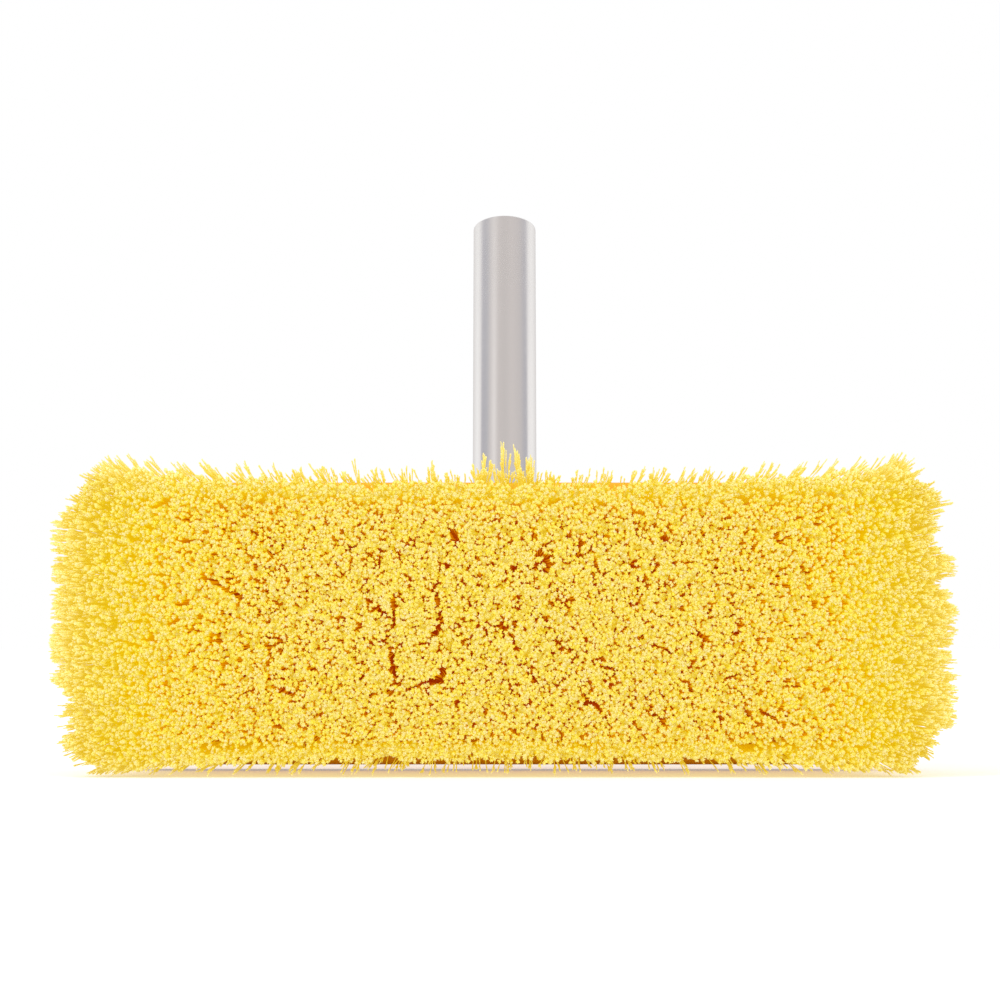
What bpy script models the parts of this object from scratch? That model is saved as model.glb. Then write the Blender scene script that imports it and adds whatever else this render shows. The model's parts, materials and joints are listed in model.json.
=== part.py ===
"""Wash brush head: a moulded block set with thirteen rows of flared tufts, on a snap-in handle tube.

The brush stands as it is looked at: the tufts point along -Y, the tube leans back and up, and Z is up.
The lowest tufts touch Z = 0, and X = Y = 0 is the middle of the whole head.
"""

import math
import random

import bmesh
import bpy
from mathutils import Matrix, Vector

MM = 0.001

# Fits
SEAT_GAP = 0.3 * MM
CUT_OVERRUN = 4 * MM

# Block, a structural-foam moulding with a shallow pocket that carries the tufted face
BLOCK_LENGTH = 305 * MM
BLOCK_HEIGHT = 108 * MM
BLOCK_THICKNESS = 20 * MM
BLOCK_CORNER_RADIUS = 14 * MM
BLOCK_BACK_EDGE_ROUND = 6 * MM
BLOCK_FRONT_EDGE_ROUND = 2 * MM
RIM_WIDTH = 4 * MM
POCKET_DEPTH = 3.5 * MM

# Tufts, in rows that run along X and are set half a pitch apart from row to row
TUFT_ROWS = 13
TUFTS_IN_LONG_ROW = 34
TUFTS_LEFT_OUT_AT_EACH_CORNER = 1
TUFT_LENGTH = 63 * MM
TUFT_ROOT_WIDTH = 3.6 * MM
TUFT_SUNK_DEPTH = 1.5 * MM
TUFT_TIP_SHARE = 0.78
END_LEAN = math.radians(18.5)
SIDE_LEAN = math.radians(7)
END_FLARE_SHARE = 0.45
SIDE_FLARE_SHARE = 0.62
TIP_SCATTER_SHARE = 0.3
STANDING_CUT = 0.5 * MM

# Handle tube
TUBE_OUTER_DIAMETER = 25.4 * MM
TUBE_WALL = 1.5 * MM
TUBE_LENGTH = 186 * MM
TUBE_LEAN = math.radians(21)
TUBE_END_CHAMFER = 0.3 * MM

# Socket on the back of the block, which holds the tube's lower end
SOCKET_DEPTH = 46 * MM
SOCKET_WALL = 4.7 * MM
SOCKET_MOUTH_CHAMFER = 1 * MM
TUBE_SUNK_IN_BLOCK = 3 * MM
WEB_BELOW_FLAT_EDGE = 9 * MM
WEB_BELOW_SOCKET_MOUTH = 1.5 * MM
SOCKET_WEB_SHARE = 0.8
BACK_PAD_MARGIN = 5 * MM
BACK_PAD_HEIGHT = 2.5 * MM
BACK_PAD_CORNER_RADIUS = 12 * MM
BACK_PAD_EDGE_ROUND = 1.2 * MM
GUSSET_THICKNESS = 4 * MM
GUSSET_REACH = 27 * MM
GUSSET_PLACE_SHARES = (0.2, 0.62)

# Screws that pin the tube in the socket, one from each side
SCREW_SHANK_DIAMETER = 4 * MM
SCREW_HEAD_DIAMETER = 7.6 * MM
SCREW_HEAD_HEIGHT = 2.6 * MM
SCREW_TIP_LENGTH = 2.5 * MM
SCREW_PAST_TUBE_WALL = 1.5 * MM
SCREW_BELOW_SOCKET_MOUTH = 15 * MM
SCREW_BOSS_DIAMETER = 13 * MM
SCREW_BOSS_PROUD = 2.5 * MM
SCREW_BOSS_CHAMFER = 0.8 * MM

# Snap button and its leaf spring, in the tube's upper end on the side away from the tufts
BUTTON_DIAMETER = 8 * MM
BUTTON_PROUD = 5.5 * MM
BUTTON_DOME_SHARE = 0.3
BUTTON_BELOW_TUBE_END = 28 * MM
STEM_DIAMETER = 3 * MM
STEM_HEAD_DIAMETER = 5 * MM
STEM_HEAD_HEIGHT = 0.8 * MM
LEAF_WIDTH = 8 * MM
LEAF_THICKNESS = 0.6 * MM
LEAF_PAST_BUTTON = 8 * MM
LEAF_LENGTH = 52 * MM
LEAF_BEND_RADIUS = 4 * MM

# Facets
TUBE_STEPS = 64
SOCKET_STEPS = 48
SMALL_STEPS = 32
CORNER_STEPS = 10
DOME_STEPS = 8
EDGE_STEPS = 3
MERGE_DISTANCE = 0.005 * MM
FLAT_ANGLE = math.radians(0.5)
SHARP_ANGLE = math.radians(35)

TUBE_RADIUS = TUBE_OUTER_DIAMETER / 2
TUBE_BORE_RADIUS = TUBE_RADIUS - TUBE_WALL
SOCKET_RADIUS = TUBE_RADIUS + SEAT_GAP + SOCKET_WALL
SOCKET_WEB_HALF_WIDTH = SOCKET_RADIUS * SOCKET_WEB_SHARE
POCKET_LENGTH = BLOCK_LENGTH - 2 * RIM_WIDTH
POCKET_HEIGHT = BLOCK_HEIGHT - 2 * RIM_WIDTH
POCKET_CORNER_RADIUS = BLOCK_CORNER_RADIUS - RIM_WIDTH
ROW_PITCH = POCKET_HEIGHT / TUFT_ROWS
TUFT_PITCH = POCKET_LENGTH / TUFTS_IN_LONG_ROW
TUFT_TIP_WIDTH = TUFT_TIP_SHARE * min(ROW_PITCH, TUFT_PITCH)
TIP_SCATTER = TIP_SCATTER_SHARE * (min(ROW_PITCH, TUFT_PITCH) - TUFT_TIP_WIDTH)
OUTER_ROW = ROW_PITCH * (TUFT_ROWS - 1) / 2
OUTER_TUFT = TUFT_PITCH * (TUFTS_IN_LONG_ROW - 1) / 2

SOCKET_AXIS_STANDOFF = TUBE_RADIUS * math.cos(TUBE_LEAN) - TUBE_SUNK_IN_BLOCK
WEB_LENGTH = SOCKET_DEPTH - WEB_BELOW_SOCKET_MOUTH
WEB_STANDOFF = SOCKET_AXIS_STANDOFF + WEB_LENGTH * math.sin(TUBE_LEAN)
WEB_RISE = WEB_LENGTH * math.cos(TUBE_LEAN) + WEB_STANDOFF * math.tan(TUBE_LEAN)
SCREW_ABOVE_TUBE_END = SOCKET_DEPTH - SCREW_BELOW_SOCKET_MOUTH
BACK_PAD_LENGTH = 2 * (SOCKET_WEB_HALF_WIDTH + GUSSET_REACH + BACK_PAD_MARGIN)
BACK_PAD_WIDTH = BLOCK_HEIGHT - 2 * (BLOCK_BACK_EDGE_ROUND + BACK_PAD_MARGIN)

# What stands on the block's back is joined to it down to this depth
EMBED_DEPTH = BLOCK_THICKNESS / 2

# Places: the middle of the block above the floor, and its two faces about the middle of the head
BLOCK_Z = OUTER_ROW + TUFT_LENGTH * math.sin(SIDE_LEAN) + TUFT_TIP_WIDTH / 2 - STANDING_CUT
TUBE_BACK_REACH = (
    SOCKET_AXIS_STANDOFF
    + (TUBE_LENGTH - TUBE_END_CHAMFER) * math.sin(TUBE_LEAN)
    + TUBE_RADIUS * math.cos(TUBE_LEAN)
)
FRONT_Y = (TUFT_LENGTH - BLOCK_THICKNESS - TUBE_BACK_REACH) / 2
BACK_Y = FRONT_Y + BLOCK_THICKNESS
WEB_TOP_Z = BLOCK_Z + BLOCK_HEIGHT / 2 - BLOCK_BACK_EDGE_ROUND - WEB_BELOW_FLAT_EDGE
SOCKET_FOOT = Vector((0, BACK_Y + SOCKET_AXIS_STANDOFF, WEB_TOP_Z - WEB_RISE))

COLOURS = {
    "yellow_polypropylene": ((0.86, 0.56, 0.03), 0.45, 0.0),
    "yellow_bristle": ((0.94, 0.70, 0.10), 0.55, 0.0),
    "aluminium": ((0.80, 0.79, 0.78), 0.22, 1.0),
    "stainless_steel": ((0.60, 0.60, 0.60), 0.3, 1.0),
    "spring_steel": ((0.45, 0.45, 0.46), 0.35, 1.0),
}


def start_scene():
    """Removes the objects of the scene and returns the collections for the parts and for the tools."""
    for obj in list(bpy.data.objects):
        bpy.data.objects.remove(obj)
    parts = bpy.data.collections.new("wash_brush_head")
    tools = bpy.data.collections.new("tools")
    for collection in (parts, tools):
        bpy.context.scene.collection.children.link(collection)
    return parts, tools


def material(name):
    colour, roughness, metallic = COLOURS[name]
    made = bpy.data.materials.get(name) or bpy.data.materials.new(name)
    made.use_nodes = True
    shader = made.node_tree.nodes["Principled BSDF"]
    shader.inputs["Base Color"].default_value = (*colour, 1.0)
    shader.inputs["Roughness"].default_value = roughness
    shader.inputs["Metallic"].default_value = metallic
    return made


def as_part(obj, name, material_name):
    """Names an object as a piece of the brush and gives it its material."""
    obj.name = name
    obj.data.name = name
    obj.data.materials.clear()
    obj.data.materials.append(material(material_name))
    PARTS.objects.link(obj)
    return obj


def as_tool(obj):
    """Keeps an object as a cutter or a shape to join, which is no piece by itself."""
    obj.hide_render = True
    obj.display_type = "WIRE"
    TOOLS.objects.link(obj)
    return obj


def mesh_object(name, cage):
    """Makes an object of a cage, smooth over its round stretches and sharp at its edges."""
    mesh = bpy.data.meshes.new(name)
    cage.to_mesh(mesh)
    cage.free()
    mesh.shade_smooth()
    mesh.set_sharp_from_angle(angle=SHARP_ANGLE)
    return bpy.data.objects.new(name, mesh)


def place(obj, location=(0, 0, 0), rotation=(0, 0, 0), parent=None):
    obj.location = location
    obj.rotation_euler = rotation
    obj.parent = parent
    return obj


def box(name, size):
    """A box of the given size about its own middle."""
    cage = bmesh.new()
    bmesh.ops.create_cube(cage, size=1, matrix=Matrix.Diagonal((*size, 1)))
    return mesh_object(name, cage)


def cylinder(name, radius, length, steps):
    """A cylinder along Z about its own middle."""
    cage = bmesh.new()
    bmesh.ops.create_cone(
        cage, cap_ends=True, segments=steps, radius1=radius, radius2=radius, depth=length
    )
    return mesh_object(name, cage)


def turned(name, profile, steps, closed=False):
    """Turns a profile of (radius, height) points about Z. It runs from the top down its outer side."""
    cage = bmesh.new()
    points = [cage.verts.new((radius, 0, height)) for radius, height in profile]
    for first, second in zip(points, points[1:]):
        cage.edges.new((first, second))
    if closed:
        cage.edges.new((points[-1], points[0]))
    obj = mesh_object(name, cage)
    screw = obj.modifiers.new("turn", "SCREW")
    screw.steps = steps
    screw.render_steps = steps
    screw.use_merge_vertices = True
    screw.merge_threshold = MERGE_DISTANCE
    screw.use_smooth_shade = True
    return obj


def arc(centre, radius, start, end, steps):
    """Points on an arc between two angles, both ends included."""
    angles = [start + (end - start) * step / steps for step in range(steps + 1)]
    return [(centre[0] + radius * math.cos(angle), centre[1] + radius * math.sin(angle)) for angle in angles]


def rounded_rectangle(length, height, radius):
    """The outline of a rectangle about the origin, with round corners."""
    across, up = length / 2 - radius, height / 2 - radius
    corners = ((across, up), (-across, up), (-across, -up), (across, -up))
    outline = []
    for quarter, corner in enumerate(corners):
        start = quarter * math.pi / 2
        outline += arc(corner, radius, start, start + math.pi / 2, CORNER_STEPS)
    return outline


def plate(name, outline, thickness):
    """A flat outline in X and Y, filled and thickened along Z about its own middle."""
    curve = bpy.data.curves.new(name, "CURVE")
    curve.dimensions = "2D"
    curve.fill_mode = "BOTH"
    curve.extrude = thickness / 2
    spline = curve.splines.new("POLY")
    spline.points.add(len(outline) - 1)
    for point, (across, up) in zip(spline.points, outline):
        point.co = (across, up, 0, 1)
    spline.use_cyclic_u = True
    flat = bpy.data.objects.new(name, curve)
    bpy.context.scene.collection.objects.link(flat)
    graph = bpy.context.evaluated_depsgraph_get()
    mesh = bpy.data.meshes.new_from_object(flat.evaluated_get(graph))
    bpy.data.objects.remove(flat)
    cage = bmesh.new()
    cage.from_mesh(mesh)
    bmesh.ops.remove_doubles(cage, verts=cage.verts, dist=MERGE_DISTANCE)
    bmesh.ops.recalc_face_normals(cage, faces=cage.faces)
    bmesh.ops.dissolve_limit(cage, angle_limit=FLAT_ANGLE, verts=cage.verts, edges=cage.edges)
    bpy.data.meshes.remove(mesh)
    return mesh_object(name, cage)


def round_rim(obj, side, radius, steps=EDGE_STEPS):
    """Rounds the rim of a plate on its upper side (1) or its lower side (-1), before it is placed."""
    group = obj.vertex_groups.new(name=f"rim_{side}")
    group.add([vert.index for vert in obj.data.vertices if vert.co.z * side > 0], 1, "REPLACE")
    bevel = obj.modifiers.new(group.name, "BEVEL")
    bevel.width = radius
    bevel.segments = steps
    bevel.limit_method = "VGROUP"
    bevel.vertex_group = group.name
    return obj


def combine(obj, tool, operation):
    change = obj.modifiers.new(f"{operation.lower()}_{tool.name}", "BOOLEAN")
    change.object = tool
    change.operation = operation
    change.solver = "EXACT"


FACING_BACK = (math.pi / 2, 0, math.pi)
ALONG_X = (0, math.pi / 2, 0)


def handle_axis():
    """An empty at the tube's lower end: Z runs up the tube, and Y points away from the tufts."""
    axis = bpy.data.objects.new("handle_axis", None)
    PARTS.objects.link(axis)
    return place(axis, SOCKET_FOOT, (-TUBE_LEAN, 0, 0))


def socket_sleeve(axis):
    """The round wall of the socket, closed by a dome below."""
    profile = [
        (0, SOCKET_DEPTH),
        (SOCKET_RADIUS - SOCKET_MOUTH_CHAMFER, SOCKET_DEPTH),
    ]
    profile += [(SOCKET_RADIUS, SOCKET_DEPTH - SOCKET_MOUTH_CHAMFER)]
    profile += arc((0, 0), SOCKET_RADIUS, 0, -math.pi / 2, DOME_STEPS)
    return place(turned("socket_sleeve", profile, SOCKET_STEPS), parent=axis)


def socket_web():
    """The solid wedge between the leaning sleeve and the back of the block, square to the sleeve above."""
    root_y = BACK_Y - EMBED_DEPTH
    outline = [
        (SOCKET_FOOT.y, SOCKET_FOOT.z),
        (BACK_Y + WEB_STANDOFF, SOCKET_FOOT.z + WEB_LENGTH * math.cos(TUBE_LEAN)),
        (root_y, WEB_TOP_Z + EMBED_DEPTH * math.tan(TUBE_LEAN)),
        (root_y, SOCKET_FOOT.z),
    ]
    web = plate("socket_web", outline, 2 * SOCKET_WEB_HALF_WIDTH)
    return place(web, rotation=(math.pi / 2, 0, math.pi / 2))


def back_pad():
    """The raised pad that spreads the socket's load over the flat of the block's back."""
    outline = rounded_rectangle(BACK_PAD_LENGTH, BACK_PAD_WIDTH, BACK_PAD_CORNER_RADIUS)
    pad = plate("back_pad", outline, BACK_PAD_HEIGHT + EMBED_DEPTH)
    round_rim(pad, 1, BACK_PAD_EDGE_ROUND)
    return place(pad, (0, BACK_Y + (BACK_PAD_HEIGHT - EMBED_DEPTH) / 2, BLOCK_Z), FACING_BACK)


def gusset(share):
    """A rib across the socket, at a share of its depth, which slopes down to the pad on both sides."""
    z = SOCKET_FOOT.z + share * SOCKET_DEPTH * math.cos(TUBE_LEAN)
    ridge_y = SOCKET_FOOT.y + share * SOCKET_DEPTH * math.sin(TUBE_LEAN)
    root_y = BACK_Y - EMBED_DEPTH
    outer = SOCKET_WEB_HALF_WIDTH + GUSSET_REACH
    outline = [(0, ridge_y), (outer, BACK_Y), (outer, root_y), (-outer, root_y), (-outer, BACK_Y)]
    return place(plate("gusset", outline, GUSSET_THICKNESS), (0, 0, z))


def screw_boss(axis):
    """A cross boss whose two flat ends are the seats of the screw heads."""
    reach = SOCKET_RADIUS + SCREW_BOSS_PROUD
    radius = SCREW_BOSS_DIAMETER / 2
    profile = [
        (0, reach),
        (radius - SCREW_BOSS_CHAMFER, reach),
        (radius, reach - SCREW_BOSS_CHAMFER),
        (radius, SCREW_BOSS_CHAMFER - reach),
        (radius - SCREW_BOSS_CHAMFER, -reach),
        (0, -reach),
    ]
    boss = turned("screw_boss", profile, SMALL_STEPS)
    return place(boss, (0, 0, SCREW_ABOVE_TUBE_END), ALONG_X, axis)


def screw_hole(axis):
    """One straight hole through both walls of the socket and of the tube."""
    radius = SCREW_SHANK_DIAMETER / 2 + SEAT_GAP
    length = 2 * (SOCKET_RADIUS + SCREW_BOSS_PROUD + CUT_OVERRUN)
    hole = cylinder("screw_hole", radius, length, SMALL_STEPS)
    return as_tool(place(hole, (0, 0, SCREW_ABOVE_TUBE_END), ALONG_X, axis))


def tube_bore(axis):
    """The socket's bore, with the tube's clearance at its wall and its floor."""
    length = SOCKET_DEPTH + SEAT_GAP + CUT_OVERRUN
    bore = cylinder("tube_bore", TUBE_RADIUS + SEAT_GAP, length, TUBE_STEPS)
    return as_tool(place(bore, (0, 0, length / 2 - SEAT_GAP), parent=axis))


def block(axis, hole):
    """The moulded block: a rounded slab, its socket, pad and ribs, its pocket and its bores."""
    slab = plate(
        "block",
        rounded_rectangle(BLOCK_LENGTH, BLOCK_HEIGHT, BLOCK_CORNER_RADIUS),
        BLOCK_THICKNESS,
    )
    round_rim(slab, 1, BLOCK_BACK_EDGE_ROUND)
    round_rim(slab, -1, BLOCK_FRONT_EDGE_ROUND)
    place(slab, (0, (FRONT_Y + BACK_Y) / 2, BLOCK_Z), FACING_BACK)
    raised = [back_pad(), socket_web(), socket_sleeve(axis), screw_boss(axis)]
    raised += [gusset(share) for share in GUSSET_PLACE_SHARES]
    for shape in raised:
        combine(slab, as_tool(shape), "UNION")
    pocket = plate(
        "pocket",
        rounded_rectangle(POCKET_LENGTH, POCKET_HEIGHT, POCKET_CORNER_RADIUS),
        POCKET_DEPTH + CUT_OVERRUN,
    )
    depth_middle = FRONT_Y + (POCKET_DEPTH - CUT_OVERRUN) / 2
    place(pocket, (0, depth_middle, BLOCK_Z), FACING_BACK)
    for tool in (as_tool(pocket), tube_bore(axis), hole):
        combine(slab, tool, "DIFFERENCE")
    return as_part(slab, "brush_block", "yellow_polypropylene")


def flare(distance, half, flare_share, lean):
    """How far a tuft leans: not at all over the middle, and more and more towards the edge."""
    start = half * (1 - flare_share)
    beyond = max(0.0, abs(distance) - start) / (half - start)
    return math.copysign(lean * beyond, distance)


def tuft_tip(x, z, row, column):
    """The middle of a tuft's trimmed end, for a root at (x, z) on the face about the block's middle."""
    across = flare(x, OUTER_TUFT, END_FLARE_SHARE, END_LEAN)
    up = flare(z, OUTER_ROW, SIDE_FLARE_SHARE, SIDE_LEAN)
    tip = Vector(
        (
            x + TUFT_LENGTH * math.sin(across),
            -TUFT_LENGTH * math.cos(across) * math.cos(up),
            z + TUFT_LENGTH * math.sin(up),
        )
    )
    noise = random.Random(row * TUFTS_IN_LONG_ROW + abs(column))
    if column:
        tip.x += math.copysign(TIP_SCATTER * noise.uniform(-1, 1), column)
    if 0 < row < TUFT_ROWS - 1:
        tip.z += TIP_SCATTER * noise.uniform(-1, 1)
    return tip


def add_strand(cage, root, tip):
    """One four-sided strand that widens from its sunk root to its tip, which is trimmed flat."""
    whole = (tip - root) * (1 + TUFT_SUNK_DEPTH / (tip - root).length)
    middle = tip - whole / 2
    shear = Matrix(
        (
            (1, 0, whole.x, middle.x),
            (0, 0, whole.y, middle.y),
            (0, 1, whole.z, middle.z),
            (0, 0, 0, 1),
        )
    )
    bmesh.ops.create_cone(
        cage,
        cap_ends=True,
        segments=4,
        radius1=TUFT_ROOT_WIDTH / math.sqrt(2),
        radius2=TUFT_TIP_WIDTH / math.sqrt(2),
        depth=1,
        matrix=shear @ Matrix.Rotation(math.pi / 4, 4, "Z"),
    )


def row_columns(row):
    """The X places of a row's tufts, each with a count from the middle. Every second row is a long one.

    The first and the last row leave tufts out at both ends, where the block's corners are round.
    """
    count = TUFTS_IN_LONG_ROW if row % 2 else TUFTS_IN_LONG_ROW - 1
    if row in (0, TUFT_ROWS - 1):
        count -= 2 * TUFTS_LEFT_OUT_AT_EACH_CORNER
    doubled = range(1 - count, count, 2)
    return [(step * TUFT_PITCH / 2, step) for step in doubled]


def tuft_row(row, outline, floor):
    """One row of tufts with its slice of the block's face."""
    z = OUTER_ROW - row * ROW_PITCH
    number = f"{row + 1:02d}"
    thickness = POCKET_DEPTH - SEAT_GAP
    part = box("slice", (POCKET_LENGTH, thickness, ROW_PITCH - SEAT_GAP))
    place(part, (0, FRONT_Y + thickness / 2, BLOCK_Z + z))
    combine(part, outline, "INTERSECT")
    cage = bmesh.new()
    for x, column in row_columns(row):
        add_strand(cage, Vector((x, 0, z)), tuft_tip(x, z, row, column))
    strands = as_tool(mesh_object(f"strands_{number}", cage))
    combine(part, place(strands, (0, FRONT_Y, BLOCK_Z)), "UNION")
    if row == TUFT_ROWS - 1:
        combine(part, floor, "DIFFERENCE")
    return as_part(part, f"tuft_row_{number}", "yellow_bristle")


def tuft_rows():
    """All rows of tufts, from the top one down. The lowest is cut flat where the brush stands on it."""
    inset = 2 * SEAT_GAP
    outline = plate(
        "face_outline",
        rounded_rectangle(POCKET_LENGTH - inset, POCKET_HEIGHT - inset, POCKET_CORNER_RADIUS - SEAT_GAP),
        2 * POCKET_DEPTH,
    )
    as_tool(place(outline, (0, FRONT_Y + POCKET_DEPTH / 2, BLOCK_Z), FACING_BACK))
    reach = BLOCK_LENGTH + 2 * TUFT_LENGTH
    floor = as_tool(place(box("floor", (reach, reach, CUT_OVERRUN)), (0, 0, -CUT_OVERRUN / 2)))
    return [tuft_row(row, outline, floor) for row in range(TUFT_ROWS)]


def handle_tube(axis, hole):
    """The drawn tube, with its two screw holes below and its button hole above."""
    inside, outside = TUBE_BORE_RADIUS, TUBE_RADIUS
    edge = TUBE_END_CHAMFER
    profile = [
        (outside - edge, TUBE_LENGTH),
        (outside, TUBE_LENGTH - edge),
        (outside, edge),
        (outside - edge, 0),
        (inside + edge, 0),
        (inside, edge),
        (inside, TUBE_LENGTH - edge),
        (inside + edge, TUBE_LENGTH),
    ]
    tube = place(turned("tube", profile, TUBE_STEPS, closed=True), parent=axis)
    reach = TUBE_RADIUS + CUT_OVERRUN
    button_hole = cylinder("button_hole", BUTTON_DIAMETER / 2 + SEAT_GAP, reach, SMALL_STEPS)
    place(button_hole, (0, reach / 2, TUBE_LENGTH - BUTTON_BELOW_TUBE_END), (math.pi / 2, 0, 0), axis)
    for tool in (hole, as_tool(button_hole)):
        combine(tube, tool, "DIFFERENCE")
    return as_part(tube, "handle_tube", "aluminium")


def leaf_face_height():
    """How far the outer face of the spring's leaf lies from the tube's axis: its edges meet the bore."""
    return math.sqrt(TUBE_BORE_RADIUS**2 - (LEAF_WIDTH / 2) ** 2) - SEAT_GAP


def snap_button(axis):
    """The domed button, with the stem that is riveted through the leaf."""
    face = leaf_face_height()
    radius, stem = BUTTON_DIAMETER / 2, STEM_DIAMETER / 2
    top = TUBE_RADIUS + BUTTON_PROUD
    dome = BUTTON_DOME_SHARE * radius
    shoulder = face + SEAT_GAP
    stem_head = face - LEAF_THICKNESS - SEAT_GAP
    profile = [(0, top)]
    profile += arc((radius - dome, top - dome), dome, math.pi / 2, 0, DOME_STEPS // 2)
    profile += [
        (radius, shoulder),
        (stem, shoulder),
        (stem, stem_head),
        (STEM_HEAD_DIAMETER / 2, stem_head),
        (STEM_HEAD_DIAMETER / 2, stem_head - STEM_HEAD_HEIGHT),
        (0, stem_head - STEM_HEAD_HEIGHT),
    ]
    button = turned("button", profile, SMALL_STEPS)
    place(button, (0, 0, TUBE_LENGTH - BUTTON_BELOW_TUBE_END), (-math.pi / 2, 0, 0), axis)
    return as_part(button, "snap_button", "stainless_steel")


def offset(path, distance):
    """A line beside a path of points, at an even distance to its left."""
    moved = []
    for index, point in enumerate(path):
        before = path[max(index - 1, 0)]
        after = path[min(index + 1, len(path) - 1)]
        ways = [
            Vector(end) - Vector(start)
            for start, end in ((before, point), (point, after))
            if start != end
        ]
        normals = [Vector((-way.y, way.x)).normalized() for way in ways]
        mean = sum(normals, Vector((0, 0))).normalized()
        moved.append(Vector(point) + mean * distance / mean.dot(normals[0]))
    return moved


def leaf_path():
    """The middle line of the V spring, as (distance from the tube's axis, height along the tube)."""
    reach = leaf_face_height() - LEAF_THICKNESS / 2
    button_z = TUBE_LENGTH - BUTTON_BELOW_TUBE_END
    end_z, kink_z = button_z + LEAF_PAST_BUTTON, button_z - LEAF_PAST_BUTTON
    bend_z = end_z - LEAF_LENGTH + LEAF_BEND_RADIUS
    rise = kink_z - bend_z
    straight = math.sqrt(reach**2 + rise**2 - LEAF_BEND_RADIUS**2)
    slope = math.atan2(reach, rise) - math.atan2(LEAF_BEND_RADIUS, straight)
    bend = arc((0, bend_z), LEAF_BEND_RADIUS, -slope, slope - math.pi, 2 * DOME_STEPS)
    return [(reach, end_z), (reach, kink_z), *bend, (-reach, kink_z), (-reach, end_z)]


def snap_spring(axis):
    """The V-shaped leaf spring that pushes the button out and braces itself on the far wall."""
    path = leaf_path()
    outline = offset(path, LEAF_THICKNESS / 2) + offset(path, -LEAF_THICKNESS / 2)[::-1]
    spring = plate("spring", [tuple(point) for point in outline], LEAF_WIDTH)
    place(spring, rotation=(math.pi / 2, 0, math.pi / 2), parent=axis)
    reach = TUBE_BORE_RADIUS
    stem_hole = cylinder("stem_hole", STEM_DIAMETER / 2 + SEAT_GAP, reach, SMALL_STEPS)
    place(stem_hole, (0, reach / 2, TUBE_LENGTH - BUTTON_BELOW_TUBE_END), (math.pi / 2, 0, 0), axis)
    combine(spring, as_tool(stem_hole), "DIFFERENCE")
    return as_part(spring, "snap_spring", "spring_steel")


def tube_screw(name, side, axis):
    """A pan-head self-tapping screw from one side of the socket into the tube."""
    seat = SOCKET_RADIUS + SCREW_BOSS_PROUD + SEAT_GAP
    head, shank = SCREW_HEAD_DIAMETER / 2, SCREW_SHANK_DIAMETER / 2
    tip = TUBE_BORE_RADIUS - SCREW_PAST_TUBE_WALL - SCREW_TIP_LENGTH
    crown = SCREW_HEAD_HEIGHT / 2
    profile = [(0, seat + SCREW_HEAD_HEIGHT)]
    profile += arc((head - crown, seat + crown), crown, math.pi / 2, 0, DOME_STEPS // 2)
    profile += [(head, seat), (shank, seat), (shank, tip + SCREW_TIP_LENGTH), (0, tip)]
    screw = turned(name, profile, SMALL_STEPS)
    rotation = (0, side * math.pi / 2, 0)
    place(screw, (0, 0, SCREW_ABOVE_TUBE_END), rotation, axis)
    return as_part(screw, name, "stainless_steel")


PARTS, TOOLS = start_scene()


def main():
    axis = handle_axis()
    bpy.context.view_layer.update()
    hole = screw_hole(axis)
    block(axis, hole)
    tuft_rows()
    handle_tube(axis, hole)
    snap_button(axis)
    snap_spring(axis)
    tube_screw("tube_screw_right", 1, axis)
    tube_screw("tube_screw_left", -1, axis)


main()
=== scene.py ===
"""Looks of the wash brush head: split-tip tufts, a moulded block and a drawn aluminium handle tube.

Everything is in metres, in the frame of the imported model: the tufts point along -Y and Z is up.
"""

import json
import logging
import math
import random
from collections.abc import Iterable, Sequence
from dataclasses import dataclass
from enum import Enum

import bmesh
import bpy
from mathutils import Matrix, Vector

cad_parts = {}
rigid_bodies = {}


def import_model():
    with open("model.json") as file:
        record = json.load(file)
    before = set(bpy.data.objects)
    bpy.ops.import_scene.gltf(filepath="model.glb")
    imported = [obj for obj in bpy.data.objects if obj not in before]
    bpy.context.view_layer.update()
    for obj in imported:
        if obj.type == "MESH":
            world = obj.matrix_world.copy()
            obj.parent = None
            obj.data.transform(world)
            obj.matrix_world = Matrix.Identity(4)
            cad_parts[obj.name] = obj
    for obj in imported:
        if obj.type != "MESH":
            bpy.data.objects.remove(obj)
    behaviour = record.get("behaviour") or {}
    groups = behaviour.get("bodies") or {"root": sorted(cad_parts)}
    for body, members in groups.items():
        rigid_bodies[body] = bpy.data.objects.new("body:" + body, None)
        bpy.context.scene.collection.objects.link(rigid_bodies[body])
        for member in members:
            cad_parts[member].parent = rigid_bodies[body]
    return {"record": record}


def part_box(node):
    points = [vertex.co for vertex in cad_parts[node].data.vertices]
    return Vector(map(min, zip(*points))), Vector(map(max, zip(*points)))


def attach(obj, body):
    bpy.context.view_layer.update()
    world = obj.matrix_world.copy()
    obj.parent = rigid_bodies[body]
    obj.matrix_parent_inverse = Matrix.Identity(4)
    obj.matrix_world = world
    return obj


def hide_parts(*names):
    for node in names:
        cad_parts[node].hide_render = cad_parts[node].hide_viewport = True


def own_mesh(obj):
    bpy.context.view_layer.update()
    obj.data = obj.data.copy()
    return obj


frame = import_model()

log = logging.getLogger("wash_brush_head")
MM = 0.001
HANDLE_LEAN = math.radians(21)

Point2 = tuple[float, float]
Point3 = tuple[float, float, float]
Colour = tuple[float, float, float, float]
# What can feed a node's input, and what can fill its inputs
Fed = bpy.types.Node | bpy.types.NodeSocket | float
Inputs = dict | Sequence

# The kinds of node that the trees use most
MATHS = "ShaderNodeMath"
VECTORS = "ShaderNodeVectorMath"
NOISE = "ShaderNodeTexNoise"
MAP = "ShaderNodeMapRange"
MIX = "ShaderNodeMix"
SPLIT = "ShaderNodeSeparateXYZ"
JOIN = "ShaderNodeCombineXYZ"


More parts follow.
